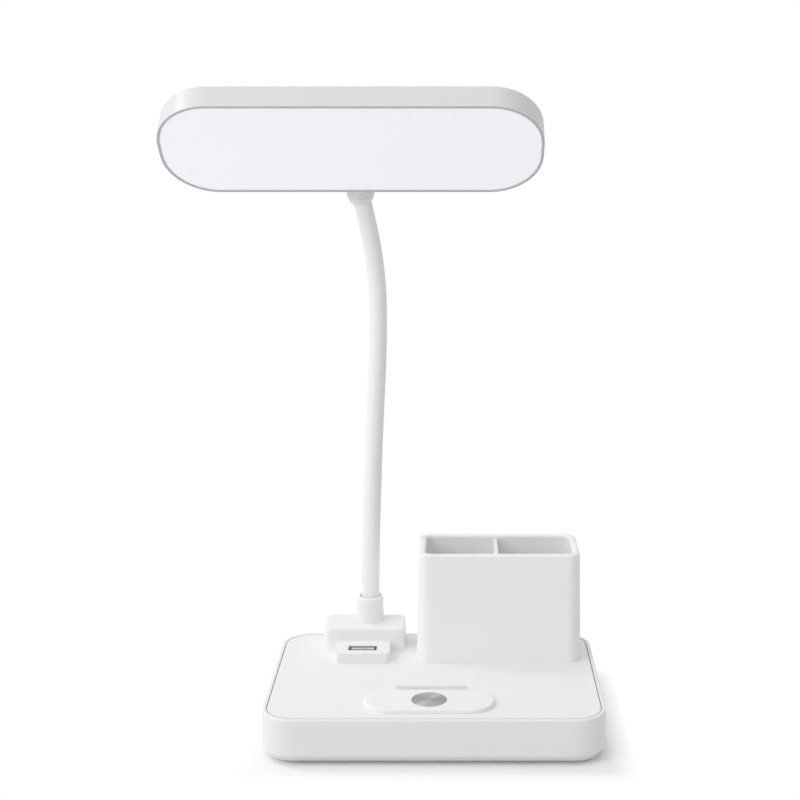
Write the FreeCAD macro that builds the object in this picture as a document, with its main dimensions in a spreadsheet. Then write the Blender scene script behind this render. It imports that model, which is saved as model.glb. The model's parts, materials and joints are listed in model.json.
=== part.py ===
import FreeCAD, Part
import math
import os
import re
import Sketcher
from FreeCAD import Placement, Rotation, Vector

os.makedirs("parts", exist_ok=True)
doc = FreeCAD.newDocument("DeskLamp")

# Driving sizes in millimetres, angles in degrees, shares without a unit.
# The frame: +X to the right, +Y to the back, +Z up, origin on the table under the base's centre.
SIZES = {
    # base, from the table up
    "base_width": 150,
    "base_depth": 103,
    "base_corner": 14,
    "base_height": 21.5,
    "base_wall": 2,
    "base_edge_round": 0.8,
    "foot_height": 1.9,
    "foot_radius": 6,
    "foot_sink": 0.6,
    "foot_round": 0.8,
    "foot_inset": 11.2,
    "cover_height": 3,
    "cover_inset": 2.4,
    "cover_rim_height": 2,
    "cover_rim_wall": 1.6,
    "rim_width": 1.7,
    "plate_thick": 2.4,
    "plate_edge_round": 0.3,
    "ledge_width": 2.2,
    "ledge_thick": 2,
    "seam_gap": 0.15,
    "fit_gap": 0.2,
    "running_gap": 0.3,
    # screws and the posts that take them
    "screw_radius": 1.5,
    "screw_head_radius": 2.8,
    "screw_head_thick": 1.6,
    "cover_screw_head_thick": 0.8,
    "screw_bite": 7,
    "post_radius": 3.6,
    # block that carries the neck
    "block_width": 39.2,
    "block_depth": 21,
    "block_height": 11,
    "block_corner": 4,
    "block_side_margin": 21,
    "block_rear_margin": 0.7,
    "block_draft": 2.4,
    "block_wall": 2,
    "block_round": 0.9,
    # block with the upward-facing port
    "port_block_width": 26,
    "port_block_depth": 16,
    "port_block_height": 5.1,
    "port_block_corner": 2.2,
    "port_block_round": 0.6,
    "port_shift": 0.1,
    "port_setback": 9.25,
    "port_width": 13.2,
    "port_depth": 5.5,
    "port_wall": 0.4,
    "port_sunk": 0.4,
    "tongue_width": 11,
    "tongue_thick": 1.9,
    "tongue_offset": 0.8,
    "tongue_sunk": 0.1,
    # ridge that stops a phone leaning on the pen holder
    "stop_width": 31.8,
    "stop_thick": 1.7,
    "stop_height": 2.7,
    "stop_shift": 0.6,
    "stop_gap": 1.75,
    "stop_round": 0.5,
    # oval bezel and the button in it
    "bezel_length": 57.3,
    "bezel_width": 22.4,
    "bezel_height": 1.8,
    "bezel_shift": 2.1,
    "bezel_front_margin": 6.8,
    "bezel_round": 0.7,
    "guide_wall": 1.4,
    "guide_gap": 2.8,
    "guide_floor": 1.2,
    "button_radius": 7.45,
    "button_rise": 0.2,
    "button_thick": 1.2,
    "button_bevel": 0.3,
    "button_travel": 0.8,
    "plunger_radius": 2.6,
    "plunger_flange_radius": 5,
    "plunger_flange_thick": 1,
    # control board, switch, charging inlet, battery and weight
    "room_gap": 2,
    "board_thick": 1.6,
    "board_border": 3,
    "board_edge_gap": 0.6,
    "board_stand": 3.8,
    "standoff_radius": 2.5,
    "switch_side": 6,
    "switch_height": 3.4,
    "switch_pin_radius": 1.7,
    "switch_pin_length": 2,
    "inlet_shift": 8,
    "inlet_width": 9,
    "inlet_height": 3.2,
    "inlet_depth": 7.4,
    "inlet_wall": 0.3,
    "inlet_sunk": 0.5,
    "inlet_tongue_thick": 0.7,
    "battery_thick": 7.5,
    "battery_round": 1.5,
    "weight_thick": 7,
    "weight_corner": 4,
    # pen holder
    "pen_side_margin": 6.3,
    "pen_block_gap": 5.9,
    "pen_rear_margin": 0.2,
    "pen_depth": 37,
    "pen_height": 52.6,
    "pen_corner": 6.5,
    "pen_draft": 1.1,
    "pen_wall": 3.4,
    "pen_floor": 3,
    "pen_edge_round": 1.2,
    "divider_thick": 1.8,
    "divider_shift": 1.2,
    "divider_drop": 1.2,
    "pen_stud_radius": 3.4,
    # neck: collar, nut and gooseneck
    "neck_shift": 2.25,
    "neck_setback": 13.55,
    "collar_top_radius": 6.4,
    "collar_bottom_radius": 6.6,
    "collar_height": 12.5,
    "collar_round": 1.1,
    "collar_bore_round": 0.4,
    "collar_floor": 2,
    "stud_radius": 3.6,
    "stud_length": 8,
    "nut_flats": 10,
    "nut_thick": 3,
    "tube_radius": 4.2,
    "tube_wall": 1.3,
    "tube_gap": 0.45,
    "core_gap": 0.05,
    "core_wall": 1.5,
    "core_short": 1.5,
    "neck_height": 205.5,
    "neck_bow": 28.8,
    "neck_swing": 4.9,
    "bend_share": 0.9,
    # swivel ball between the gooseneck and the head
    "ball_radius": 6.6,
    "ball_cavity": 4.3,
    "ball_window_angle": 46,
    "dome_rise": 1.4,
    "pin_radius": 1.6,
    "wire_radius": 0.9,
    "pin_nut_radius": 3.3,
    "pin_nut_thick": 2.2,
    "pin_end": 0.6,
    # lamp head
    "head_length": 174.2,
    "head_width": 56,
    "head_corner": 24.5,
    "head_thick": 13.2,
    "head_rim": 1.15,
    "head_back": 1.8,
    "head_edge_round": 1.6,
    "head_tilt": 44.5,
    "head_ledge": 1.2,
    "head_offset": 1.8,
    "boss_radius": 6.5,
    "boss_reach": 7.8,
    "diffuser_thick": 2.2,
    "diffuser_sunk": 0.3,
    "led_board_end_gap": 8.85,
    "led_board_side_gap": 6.15,
    "led_board_thick": 1.2,
    "led_board_corner": 8,
    "led_stand": 1.6,
    "led_length": 3.5,
    "led_width": 2.8,
    "led_height": 0.7,
    "led_end_inset": 14.5,
    "led_side_inset": 8,
    "led_screw_radius": 1.2,
    "led_screw_inset": 13,
    "led_per_row_count": 12,
    # how far a cutting shape runs past what it cuts
    "overrun": 1,
}

# Gooseneck knees above the collar: height as a share of neck_height, back and across as shares of
# neck_bow and neck_swing. The last row is the centre of the swivel ball.
NECK_KNEE_SHARES = [
    (0.21, 0.03, 0.17),
    (0.44, 0.387, 0.454),
    (0.665, 0.683, 0.952),
    (0.83, 0.928, 0.734),
    (1.0, 0.788, -0.73),
]

sheet = doc.addObject("Spreadsheet::Sheet", "Size")
for row, (alias, amount) in enumerate(SIZES.items(), start=1):
    sheet.set(f"A{row}", alias.replace("_", " "))
    sheet.set(f"B{row}", str(amount))
    sheet.setAlias(f"B{row}", alias)
doc.recompute()


def tied(formula):
    """A formula of size names, with each name pointed at the sheet."""
    return re.sub(r"[a-z_]+[a-z]", lambda word: "Size." + word[0] if word[0] in SIZES else word[0], formula)


def worth(formula):
    """What a formula of size names comes to."""
    return float(sheet.evalExpression(formula))


def bind(thing, name, formula):
    thing.setExpression(name, tied(formula))


def spot(across, back, height):
    return Vector(worth(across), worth(back), worth(height))


# Heights above the table that several pieces share
COVER_TOP = "foot_height + cover_height"
PLATE_UNDER = "base_height - plate_thick"
BOARD_UNDER = "foot_height + cover_height + board_stand"
BOARD_TOP = "foot_height + cover_height + board_stand + board_thick"
BLOCK_TOP = "base_height + block_height"
BEZEL_TOP = "base_height + bezel_height"
PORT_TOP = "base_height + port_block_height - port_sunk"
BUTTON_TOP = "base_height + bezel_height + button_rise"
FLANGE_TOP = "base_height + bezel_height + button_rise - button_thick"
SWITCH_TOP = f"{BOARD_TOP} + switch_height"
PIN_TOP = f"{BOARD_TOP} + switch_height + button_travel + running_gap"
COVER_SCREW_SEAT = "foot_height + foot_sink + seam_gap + cover_screw_head_thick"

# Places in plan, taken from the nearest side of the base or from the piece beside
POST_ACROSS = "base_width / 2 - foot_inset"
POST_BACK = "base_depth / 2 - foot_inset"
BLOCK_ACROSS = "block_side_margin + block_width / 2 - base_width / 2"
BLOCK_BACK = "base_depth / 2 - rim_width - seam_gap - block_rear_margin - block_depth / 2"
BLOCK_FRONT = f"{BLOCK_BACK} - block_depth / 2"
NECK_ACROSS = f"{BLOCK_ACROSS} + neck_shift"
NECK_BACK = f"{BLOCK_FRONT} + neck_setback"
PORT_ACROSS = f"{BLOCK_ACROSS} - port_shift"
PORT_BACK = f"{BLOCK_FRONT} - port_setback"
PEN_LEFT = f"{BLOCK_ACROSS} + block_width / 2 + pen_block_gap"
PEN_RIGHT = "base_width / 2 - pen_side_margin"
PEN_WIDTH = f"{PEN_RIGHT} - ({PEN_LEFT})"
PEN_ACROSS = f"({PEN_RIGHT} + {PEN_LEFT}) / 2"
PEN_BACK = "base_depth / 2 - rim_width - seam_gap - pen_rear_margin - pen_depth / 2"
PEN_STUD_SPREAD = f"({PEN_WIDTH}) * 2 / 7"
BEZEL_ACROSS = "-bezel_shift"
BEZEL_BACK = "bezel_front_margin + bezel_width / 2 - base_depth / 2"
STOP_ACROSS = f"{BEZEL_ACROSS} + stop_shift"
STOP_BACK = f"{BEZEL_BACK} + bezel_width / 2 + stop_gap + stop_thick / 2"
INLET_ACROSS = "-inlet_shift"

# Edges of the room inside the base and of what lies in it
RIM_INSIDE_ACROSS = "base_width / 2 - base_wall - fit_gap - cover_rim_wall"
RIM_INSIDE_BACK = "base_depth / 2 - base_wall - fit_gap - cover_rim_wall"
BOARD_LEFT = f"post_radius + room_gap - ({POST_ACROSS})"
BOARD_RIGHT = f"{BEZEL_ACROSS} + switch_side / 2 + board_border"
BOARD_FRONT = f"{BEZEL_BACK} - switch_side / 2 - board_border"
BOARD_REAR = "base_depth / 2 - base_wall - board_edge_gap"


# Sketch and feature helpers


def new_body(label):
    body = doc.addObject("PartDesign::Body", label)
    body.Label = label
    return body


def new_sketch(body, name, plane="XY_Plane", offset="0"):
    sketch = body.newObject("Sketcher::SketchObject", name)
    support = next(datum for datum in body.Origin.OriginFeatures if datum.Role == plane)
    sketch.AttachmentSupport = [(support, "")]
    sketch.MapMode = "FlatFace"
    bind(sketch, "AttachmentOffset.Base.z", offset)
    return sketch


def measure(sketch, kind, where, formula):
    """Adds one dimension to a sketch and binds it."""
    index = sketch.addConstraint(Sketcher.Constraint(kind, *where, worth(formula)))
    bind(sketch, f"Constraints[{index}]", formula)


def draw_circle(sketch, radius, across="0", back="0"):
    middle = Vector(worth(across), worth(back), 0)
    circle = sketch.addGeometry(Part.Circle(middle, Vector(0, 0, 1), worth(radius)), False)
    measure(sketch, "Radius", (circle,), radius)
    measure(sketch, "DistanceX", (-1, 1, circle, 3), across)
    measure(sketch, "DistanceY", (-1, 1, circle, 3), back)


def draw_outline(sketch, points):
    """Draws a closed outline of straight lines through points given as formulas."""
    spots = [Vector(worth(across), worth(up), 0) for across, up in points]
    lines = []
    for start, end in zip(spots, spots[1:] + spots[:1]):
        lines.append(sketch.addGeometry(Part.LineSegment(start, end), False))
    for line, following in zip(lines, lines[1:] + lines[:1]):
        sketch.addConstraint(Sketcher.Constraint("Coincident", line, 2, following, 1))
    for line, (across, up) in zip(lines, points):
        measure(sketch, "DistanceX", (-1, 1, line, 1), across)
        measure(sketch, "DistanceY", (-1, 1, line, 1), up)


def draw_rectangle(sketch, width, depth, across="0", back="0"):
    left = f"{across} - ({width}) / 2"
    right = f"{across} + ({width}) / 2"
    front = f"{back} - ({depth}) / 2"
    rear = f"{back} + ({depth}) / 2"
    draw_outline(sketch, [(left, front), (right, front), (right, rear), (left, rear)])


def draw_round_rectangle(sketch, width, depth, corner, across="0", back="0"):
    """Draws a rectangle with four equal round corners about a centre."""
    middle = Vector(worth(across), worth(back), 0)
    half_width = worth(width) / 2
    half_depth = worth(depth) / 2
    radius = worth(corner)
    quarter = math.pi / 2
    arcs = []
    for turn, (side, end) in enumerate([(1, 1), (-1, 1), (-1, -1), (1, -1)]):
        hub = middle + Vector(side * (half_width - radius), end * (half_depth - radius), 0)
        circle = Part.Circle(hub, Vector(0, 0, 1), radius)
        arc = Part.ArcOfCircle(circle, turn * quarter, (turn + 1) * quarter)
        arcs.append(sketch.addGeometry(arc, False))
    lines = []
    for arc, following in zip(arcs, arcs[1:] + arcs[:1]):
        start = sketch.getPoint(arc, 2)
        end = sketch.getPoint(following, 1)
        lines.append(sketch.addGeometry(Part.LineSegment(start, end), False))
    for arc, line, following in zip(arcs, lines, arcs[1:] + arcs[:1]):
        sketch.addConstraint(Sketcher.Constraint("Tangent", arc, 2, line, 1))
        sketch.addConstraint(Sketcher.Constraint("Tangent", line, 2, following, 1))
    for arc in arcs[1:]:
        sketch.addConstraint(Sketcher.Constraint("Equal", arcs[0], arc))
    top, left, bottom, right = lines
    for line in (top, bottom):
        sketch.addConstraint(Sketcher.Constraint("Horizontal", line))
    for line in (left, right):
        sketch.addConstraint(Sketcher.Constraint("Vertical", line))
    measure(sketch, "Radius", (arcs[0],), corner)
    measure(sketch, "DistanceX", (-1, 1, right, 1), f"{across} + ({width}) / 2")
    measure(sketch, "DistanceX", (-1, 1, left, 1), f"{across} - ({width}) / 2")
    measure(sketch, "DistanceY", (-1, 1, top, 1), f"{back} + ({depth}) / 2")
    measure(sketch, "DistanceY", (-1, 1, bottom, 1), f"{back} - ({depth}) / 2")


def draw_stadium(sketch, length, width, across="0", back="0"):
    """Draws an oval with straight sides and half-round ends."""
    radius = worth(width) / 2
    middle = Vector(worth(across), worth(back), 0)
    reach = Vector(worth(length) / 2 - radius, 0, 0)
    half = math.pi / 2
    right_circle = Part.Circle(middle + reach, Vector(0, 0, 1), radius)
    left_circle = Part.Circle(middle - reach, Vector(0, 0, 1), radius)
    right = sketch.addGeometry(Part.ArcOfCircle(right_circle, -half, half), False)
    left = sketch.addGeometry(Part.ArcOfCircle(left_circle, half, 3 * half), False)
    top = sketch.addGeometry(Part.LineSegment(sketch.getPoint(right, 2), sketch.getPoint(left, 1)), False)
    bottom = sketch.addGeometry(Part.LineSegment(sketch.getPoint(left, 2), sketch.getPoint(right, 1)), False)
    for first, second in ((right, top), (top, left), (left, bottom), (bottom, right)):
        sketch.addConstraint(Sketcher.Constraint("Tangent", first, 2, second, 1))
    sketch.addConstraint(Sketcher.Constraint("Equal", right, left))
    sketch.addConstraint(Sketcher.Constraint("Horizontal", top))
    measure(sketch, "Radius", (right,), f"({width}) / 2")
    measure(sketch, "DistanceX", (-1, 1, right, 3), f"{across} + ({length} - ({width})) / 2")
    measure(sketch, "DistanceX", (-1, 1, left, 3), f"{across} - ({length} - ({width})) / 2")
    measure(sketch, "DistanceY", (-1, 1, right, 3), back)


def draw_hexagon(sketch, flats, across="0", back="0"):
    corner_reach = f"({flats}) / sqrt(3)"
    points = []
    for corner in range(6):
        turn = f"{corner} * 60"
        points.append((f"{across} + {corner_reach} * cos({turn})", f"{back} + {corner_reach} * sin({turn})"))
    draw_outline(sketch, points)


def pad(body, name, sketch, height, downward=False, narrowing=None):
    """Pads a sketch upward or downward, drawn in by an angle if one is given."""
    feature = body.newObject("PartDesign::Pad", name)
    feature.Profile = sketch
    bind(feature, "Length", height)
    feature.Reversed = downward
    if narrowing:
        bind(feature, "TaperAngle", f"-({narrowing})")
    return feature


def pocket(body, name, sketch, depth, upward=False):
    """Cuts a sketch out of the body, downward unless told otherwise, and checks that it cut."""
    doc.recompute()
    before = body.Shape.Volume
    feature = body.newObject("PartDesign::Pocket", name)
    feature.Profile = sketch
    bind(feature, "Length", depth)
    feature.Reversed = upward
    doc.recompute()
    if not body.Shape.Volume < before:
        raise RuntimeError(f"{name} cuts nothing out of {body.Label}")
    return feature


def revolve(body, name, sketch):
    feature = body.newObject("PartDesign::Revolution", name)
    feature.Profile = sketch
    feature.ReferenceAxis = (sketch, ["V_Axis"])
    feature.Angle = 360
    return feature


def edge_names(body, chosen):
    """Names of the body's edges whose middle and box pass a test."""
    doc.recompute()
    names = []
    for number, edge in enumerate(body.Shape.Edges, start=1):
        if chosen(edge):
            names.append(f"Edge{number}")
    return names


def level_edges(body, height, within=None):
    """Names of the body's edges that lie flat at a height, inside a plan box if one is given."""
    level = worth(height)
    slack = worth("seam_gap") / 10

    def chosen(edge):
        box = edge.BoundBox
        if abs(box.ZMin - level) > slack or abs(box.ZMax - level) > slack:
            return False
        if within is None:
            return True
        left, right, front, rear = within
        return left < box.Center.x < right and front < box.Center.y < rear

    return edge_names(body, chosen)


def finish_edges(body, name, names, size, kind="Fillet"):
    """Rounds or bevels the named edges of a body's tip."""
    base = body.Tip
    feature = body.newObject(f"PartDesign::{kind}", name)
    feature.Base = (base, names)
    bind(feature, "Radius" if kind == "Fillet" else "Size", size)
    return feature


# Base housing: the round-cornered wall with its rim and the ledge that the top plate rests on


def make_base_housing():
    body = new_body("base_housing")
    outline = new_sketch(body, "housing_outline", offset=COVER_TOP)
    draw_round_rectangle(outline, "base_width", "base_depth", "base_corner")
    pad(body, "housing_wall", outline, f"base_height - ({COVER_TOP})")

    seat = new_sketch(body, "plate_seat_outline", offset="base_height")
    inset = "2 * rim_width"
    draw_round_rectangle(seat, f"base_width - {inset}", f"base_depth - {inset}", "base_corner - rim_width")
    pocket(body, "plate_seat", seat, "plate_thick")

    inset = "2 * (base_wall + ledge_width)"
    mouth = new_sketch(body, "ledge_outline", offset=PLATE_UNDER)
    draw_round_rectangle(
        mouth, f"base_width - {inset}", f"base_depth - {inset}", "base_corner - base_wall - ledge_width"
    )
    pocket(body, "ledge_mouth", mouth, "ledge_thick")

    room = new_sketch(body, "room_outline", offset=f"{PLATE_UNDER} - ledge_thick")
    draw_round_rectangle(
        room, "base_width - 2 * base_wall", "base_depth - 2 * base_wall", "base_corner - base_wall"
    )
    pocket(body, "inner_room", room, f"{PLATE_UNDER} - ledge_thick - ({COVER_TOP})")

    # The mouth for the charging inlet in the rear wall
    mouth_sketch = new_sketch(body, "inlet_mouth_outline", "XZ_Plane", "-(base_depth / 2)")
    draw_stadium(
        mouth_sketch,
        "inlet_width + 2 * fit_gap",
        "inlet_height + 2 * fit_gap",
        INLET_ACROSS,
        f"{BOARD_TOP} + inlet_height / 2",
    )
    pocket(body, "inlet_mouth", mouth_sketch, "base_wall", upward=True)

    half_width = worth("base_width / 2 - rim_width / 2")
    half_depth = worth("base_depth / 2 - rim_width / 2")
    level = worth("base_height")

    def outer_rim(edge):
        box = edge.BoundBox
        if abs(box.ZMin - level) > worth("seam_gap") or abs(box.ZMax - level) > worth("seam_gap"):
            return False
        reach_across = max(abs(box.XMin), abs(box.XMax))
        reach_back = max(abs(box.YMin), abs(box.YMax))
        return reach_across > half_width or reach_back > half_depth

    finish_edges(body, "rim_round", edge_names(body, outer_rim), "base_edge_round")
    return body


# Top plate: one moulding with the neck block, the port block, the phone stop and the posts below


def foot_places():
    """Name and place of each foot, its screw and the post above it."""
    places = []
    for end_name, end in (("front", "-"), ("rear", "")):
        for side_name, side in (("left", "-"), ("right", "")):
            places.append((f"{end_name}_{side_name}", f"{side}({POST_ACROSS})", f"{end}({POST_BACK})"))
    return places


def make_top_plate():
    body = new_body("top_plate")
    inset = "2 * (rim_width + seam_gap)"
    outline = new_sketch(body, "plate_outline", offset="base_height")
    draw_round_rectangle(
        outline, f"base_width - {inset}", f"base_depth - {inset}", "base_corner - rim_width - seam_gap"
    )
    pad(body, "plate", outline, "plate_thick", downward=True)
    finish_edges(body, "plate_edge_round", level_edges(body, "base_height"), "plate_edge_round")

    block = new_sketch(body, "block_outline", offset="base_height")
    draw_round_rectangle(block, "block_width", "block_depth", "block_corner", BLOCK_ACROSS, BLOCK_BACK)
    pad(body, "neck_block", block, "block_height", narrowing="block_draft")

    port = new_sketch(body, "port_block_outline", offset="base_height")
    port_block_back = f"{BLOCK_FRONT} + (overrun - port_block_depth) / 2"
    draw_round_rectangle(
        port,
        "port_block_width",
        "port_block_depth + overrun",
        "port_block_corner",
        PORT_ACROSS,
        port_block_back,
    )
    pad(body, "port_block", port, "port_block_height", narrowing="block_draft / 2")

    finish_edges(body, "block_top_round", level_edges(body, BLOCK_TOP), "block_round")
    side = worth("base_width")
    before_block = (-side, side, -side, worth(BLOCK_FRONT))
    port_top = level_edges(body, "base_height + port_block_height", before_block)
    finish_edges(body, "port_top_round", port_top, "port_block_round")

    stop = new_sketch(body, "stop_outline", offset="base_height")
    draw_rectangle(stop, "stop_width", "stop_thick", STOP_ACROSS, STOP_BACK)
    pad(body, "phone_stop", stop, "stop_height")
    finish_edges(body, "stop_top_round", level_edges(body, "base_height + stop_height"), "stop_round")

    # Posts for the cover screws, over the feet
    for name, across, back in foot_places():
        post = new_sketch(body, f"post_{name}_outline", offset=PLATE_UNDER)
        draw_circle(post, "post_radius", across, back)
        pad(body, f"post_{name}", post, f"{PLATE_UNDER} - ({COVER_TOP}) - seam_gap", downward=True)
        pilot = new_sketch(body, f"pilot_{name}_outline", offset=COVER_TOP)
        draw_circle(pilot, "screw_radius", across, back)
        pocket(body, f"pilot_{name}", pilot, "screw_bite + overrun", upward=True)

    # Room inside the neck block for the lock nut
    hollow = new_sketch(body, "block_hollow_outline", offset=PLATE_UNDER)
    draw_round_rectangle(
        hollow,
        "block_width - 4 * block_wall",
        "block_depth - 2 * block_wall",
        "block_corner - block_wall / 2",
        BLOCK_ACROSS,
        BLOCK_BACK,
    )
    pocket(body, "block_hollow", hollow, "plate_thick + block_height - block_wall", upward=True)
    stud_hole = new_sketch(body, "stud_hole_outline", offset=BLOCK_TOP)
    draw_circle(stud_hole, "stud_radius + fit_gap", NECK_ACROSS, NECK_BACK)
    pocket(body, "stud_hole", stud_hole, "block_wall + overrun")

    # Mouth of the port
    mouth = new_sketch(body, "port_mouth_outline", offset="base_height + port_block_height")
    draw_rectangle(mouth, "port_width + 2 * fit_gap", "port_depth + 2 * fit_gap", PORT_ACROSS, PORT_BACK)
    pocket(body, "port_mouth", mouth, "port_block_height + plate_thick")

    # Hole for the bezel's guide
    guide = new_sketch(body, "guide_hole_outline", offset="base_height")
    draw_circle(guide, "button_radius + running_gap + guide_wall + fit_gap", BEZEL_ACROSS, BEZEL_BACK)
    pocket(body, "guide_hole", guide, "plate_thick")

    # Holes for the pen holder's studs
    for side_name, sign in (("left", "-"), ("right", "+")):
        stud = new_sketch(body, f"pen_stud_hole_{side_name}_outline", offset="base_height")
        draw_circle(stud, "pen_stud_radius + fit_gap", f"{PEN_ACROSS} {sign} {PEN_STUD_SPREAD}", PEN_BACK)
        pocket(body, f"pen_stud_hole_{side_name}", stud, "plate_thick")
    return body


# Bottom cover: a flat plate, drawn in below, with a locating rim, standoffs and screw holes


def standoff_places():
    inset = "2 * standoff_radius"
    places = []
    for across in (f"{BOARD_LEFT} + {inset}", f"{BOARD_RIGHT} - {inset}"):
        for back in (f"{BOARD_FRONT} + {inset}", f"{BOARD_REAR} - {inset}"):
            places.append((across, back))
    return places


def make_bottom_cover():
    body = new_body("bottom_cover")
    outline = new_sketch(body, "cover_outline", offset=COVER_TOP)
    draw_round_rectangle(outline, "base_width", "base_depth", "base_corner")
    slope = "atan(cover_inset / cover_height)"
    pad(body, "cover_plate", outline, "cover_height", downward=True, narrowing=slope)

    rim_inset = "2 * (base_wall + fit_gap)"
    rim = new_sketch(body, "cover_rim_outline", offset=COVER_TOP)
    draw_round_rectangle(
        rim, f"base_width - {rim_inset}", f"base_depth - {rim_inset}", "base_corner - base_wall - fit_gap"
    )
    draw_round_rectangle(
        rim,
        f"base_width - {rim_inset} - 2 * cover_rim_wall",
        f"base_depth - {rim_inset} - 2 * cover_rim_wall",
        "base_corner - base_wall - fit_gap - cover_rim_wall",
    )
    pad(body, "cover_rim", rim, "cover_rim_height")

    for number, (across, back) in enumerate(standoff_places(), start=1):
        standoff = new_sketch(body, f"standoff_{number}_outline", offset=COVER_TOP)
        draw_circle(standoff, "standoff_radius", across, back)
        pad(body, f"standoff_{number}", standoff, "board_stand")

    for name, across, back in foot_places():
        seat = new_sketch(body, f"foot_seat_{name}_outline", offset="foot_height")
        draw_circle(seat, "foot_radius + fit_gap", across, back)
        pocket(body, f"foot_seat_{name}", seat, "foot_sink", upward=True)
        hole = new_sketch(body, f"screw_hole_{name}_outline", offset="foot_height")
        draw_circle(hole, "screw_radius + fit_gap", across, back)
        pocket(body, f"screw_hole_{name}", hole, "cover_height", upward=True)
        sink = new_sketch(body, f"head_sink_{name}_outline", offset="foot_height")
        draw_circle(sink, "screw_head_radius + fit_gap", across, back)
        pocket(body, f"head_sink_{name}", sink, f"{COVER_SCREW_SEAT} - foot_height", upward=True)
    return body


def make_foot(name, across, back):
    """One rubber foot with a rounded lower edge, glued into its seat over a screw."""
    body = new_body(f"foot_{name}")
    outline = new_sketch(body, f"foot_{name}_outline")
    draw_circle(outline, "foot_radius", across, back)
    pad(body, f"foot_{name}_pad", outline, "foot_height + foot_sink")
    finish_edges(body, f"foot_{name}_round", level_edges(body, "0"), "foot_round")
    return body


# Screws: one group for each kind, each screw a solid of its own


def screw_solid(across, back, seat, radius, head_radius, head_thick, bite, upward=True):
    """A screw with its head's bearing face at a height, its shank running up or down from there."""
    way = 1 if upward else -1
    foot = spot(across, back, seat)
    head = Part.makeCylinder(worth(head_radius), worth(head_thick), foot, Vector(0, 0, -way))
    shank = Part.makeCylinder(worth(radius), worth(bite), foot, Vector(0, 0, way))
    return head.fuse(shank).removeSplitter()


def new_group(label, solids, placement=None):
    """Several separate solids under one label."""
    group = doc.addObject("Part::Feature", label)
    group.Label = label
    group.Shape = Part.makeCompound(solids)
    group.Placement = placement or Placement()
    return group


def make_cover_screws():
    screws = []
    for _, across, back in foot_places():
        screws.append(
            screw_solid(
                across,
                back,
                COVER_SCREW_SEAT,
                "screw_radius - core_gap",
                "screw_head_radius",
                "cover_screw_head_thick",
                f"{COVER_TOP} - ({COVER_SCREW_SEAT}) + screw_bite",
            )
        )
    return new_group("cover_screws", screws)


def make_pen_holder_screws():
    screws = []
    for sign in ("-", "+"):
        screws.append(
            screw_solid(
                f"{PEN_ACROSS} {sign} {PEN_STUD_SPREAD}",
                PEN_BACK,
                PLATE_UNDER,
                "screw_radius - core_gap",
                "pen_stud_radius + screw_radius",
                "screw_head_thick",
                "plate_thick + pen_floor / 2 - core_gap",
            )
        )
    return new_group("pen_holder_screws", screws)


# Things inside the base


def make_slab(label, left, right, front, rear, corner, under, height):
    """A plain slab with round corners between four plan edges, standing on a height."""
    body = new_body(label)
    outline = new_sketch(body, f"{label}_outline", offset=under)
    width = f"{right} - ({left})"
    depth = f"{rear} - ({front})"
    draw_round_rectangle(outline, width, depth, corner, f"({right} + {left}) / 2", f"({rear} + {front}) / 2")
    pad(body, f"{label}_slab", outline, height)
    return body


def make_control_board():
    return make_slab(
        "control_board",
        BOARD_LEFT,
        BOARD_RIGHT,
        BOARD_FRONT,
        BOARD_REAR,
        "standoff_radius",
        BOARD_UNDER,
        "board_thick",
    )


def make_battery():
    """Flat cell between the board and the right-hand posts."""
    body = make_slab(
        "battery",
        f"{BOARD_RIGHT} + room_gap",
        f"{POST_ACROSS} - post_radius - room_gap",
        f"room_gap - ({RIM_INSIDE_BACK})",
        "-room_gap",
        "battery_round",
        COVER_TOP,
        "battery_thick",
    )
    top = level_edges(body, f"{COVER_TOP} + battery_thick")
    finish_edges(body, "battery_top_round", top, "battery_round / 2")
    return body


def make_counterweight():
    """Steel plate under the pen holder."""
    return make_slab(
        "counterweight",
        f"{BOARD_RIGHT} + room_gap",
        f"{RIM_INSIDE_ACROSS} - room_gap",
        "room_gap",
        f"{POST_BACK} - post_radius - room_gap",
        "weight_corner",
        COVER_TOP,
        "weight_thick",
    )


def make_tact_switch():
    half = "switch_side / 2"
    body = make_slab(
        "tact_switch",
        f"{BEZEL_ACROSS} - {half}",
        f"{BEZEL_ACROSS} + {half}",
        f"{BEZEL_BACK} - {half}",
        f"{BEZEL_BACK} + {half}",
        "switch_side / 8",
        BOARD_TOP,
        "switch_height",
    )
    well = new_sketch(body, "switch_well_outline", offset=SWITCH_TOP)
    draw_circle(well, "switch_pin_radius + running_gap", BEZEL_ACROSS, BEZEL_BACK)
    pocket(body, "switch_well", well, "switch_pin_length")
    return body


# The upward-facing port: folded steel shell with its plastic tongue


def make_port_shell():
    body = new_body("port_shell")
    corner = "2 * port_wall"
    outer = new_sketch(body, "port_shell_outline", offset=BOARD_TOP)
    draw_round_rectangle(outer, "port_width", "port_depth", corner, PORT_ACROSS, PORT_BACK)
    pad(body, "port_shell_outside", outer, f"{PORT_TOP} - ({BOARD_TOP})")
    inner = new_sketch(body, "port_shell_bore_outline", offset=PORT_TOP)
    draw_round_rectangle(
        inner, "port_width - 2 * port_wall", "port_depth - 2 * port_wall", "port_wall", PORT_ACROSS, PORT_BACK
    )
    pocket(body, "port_shell_bore", inner, f"{PORT_TOP} - ({BOARD_TOP}) - 2 * port_wall")
    return body


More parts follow.
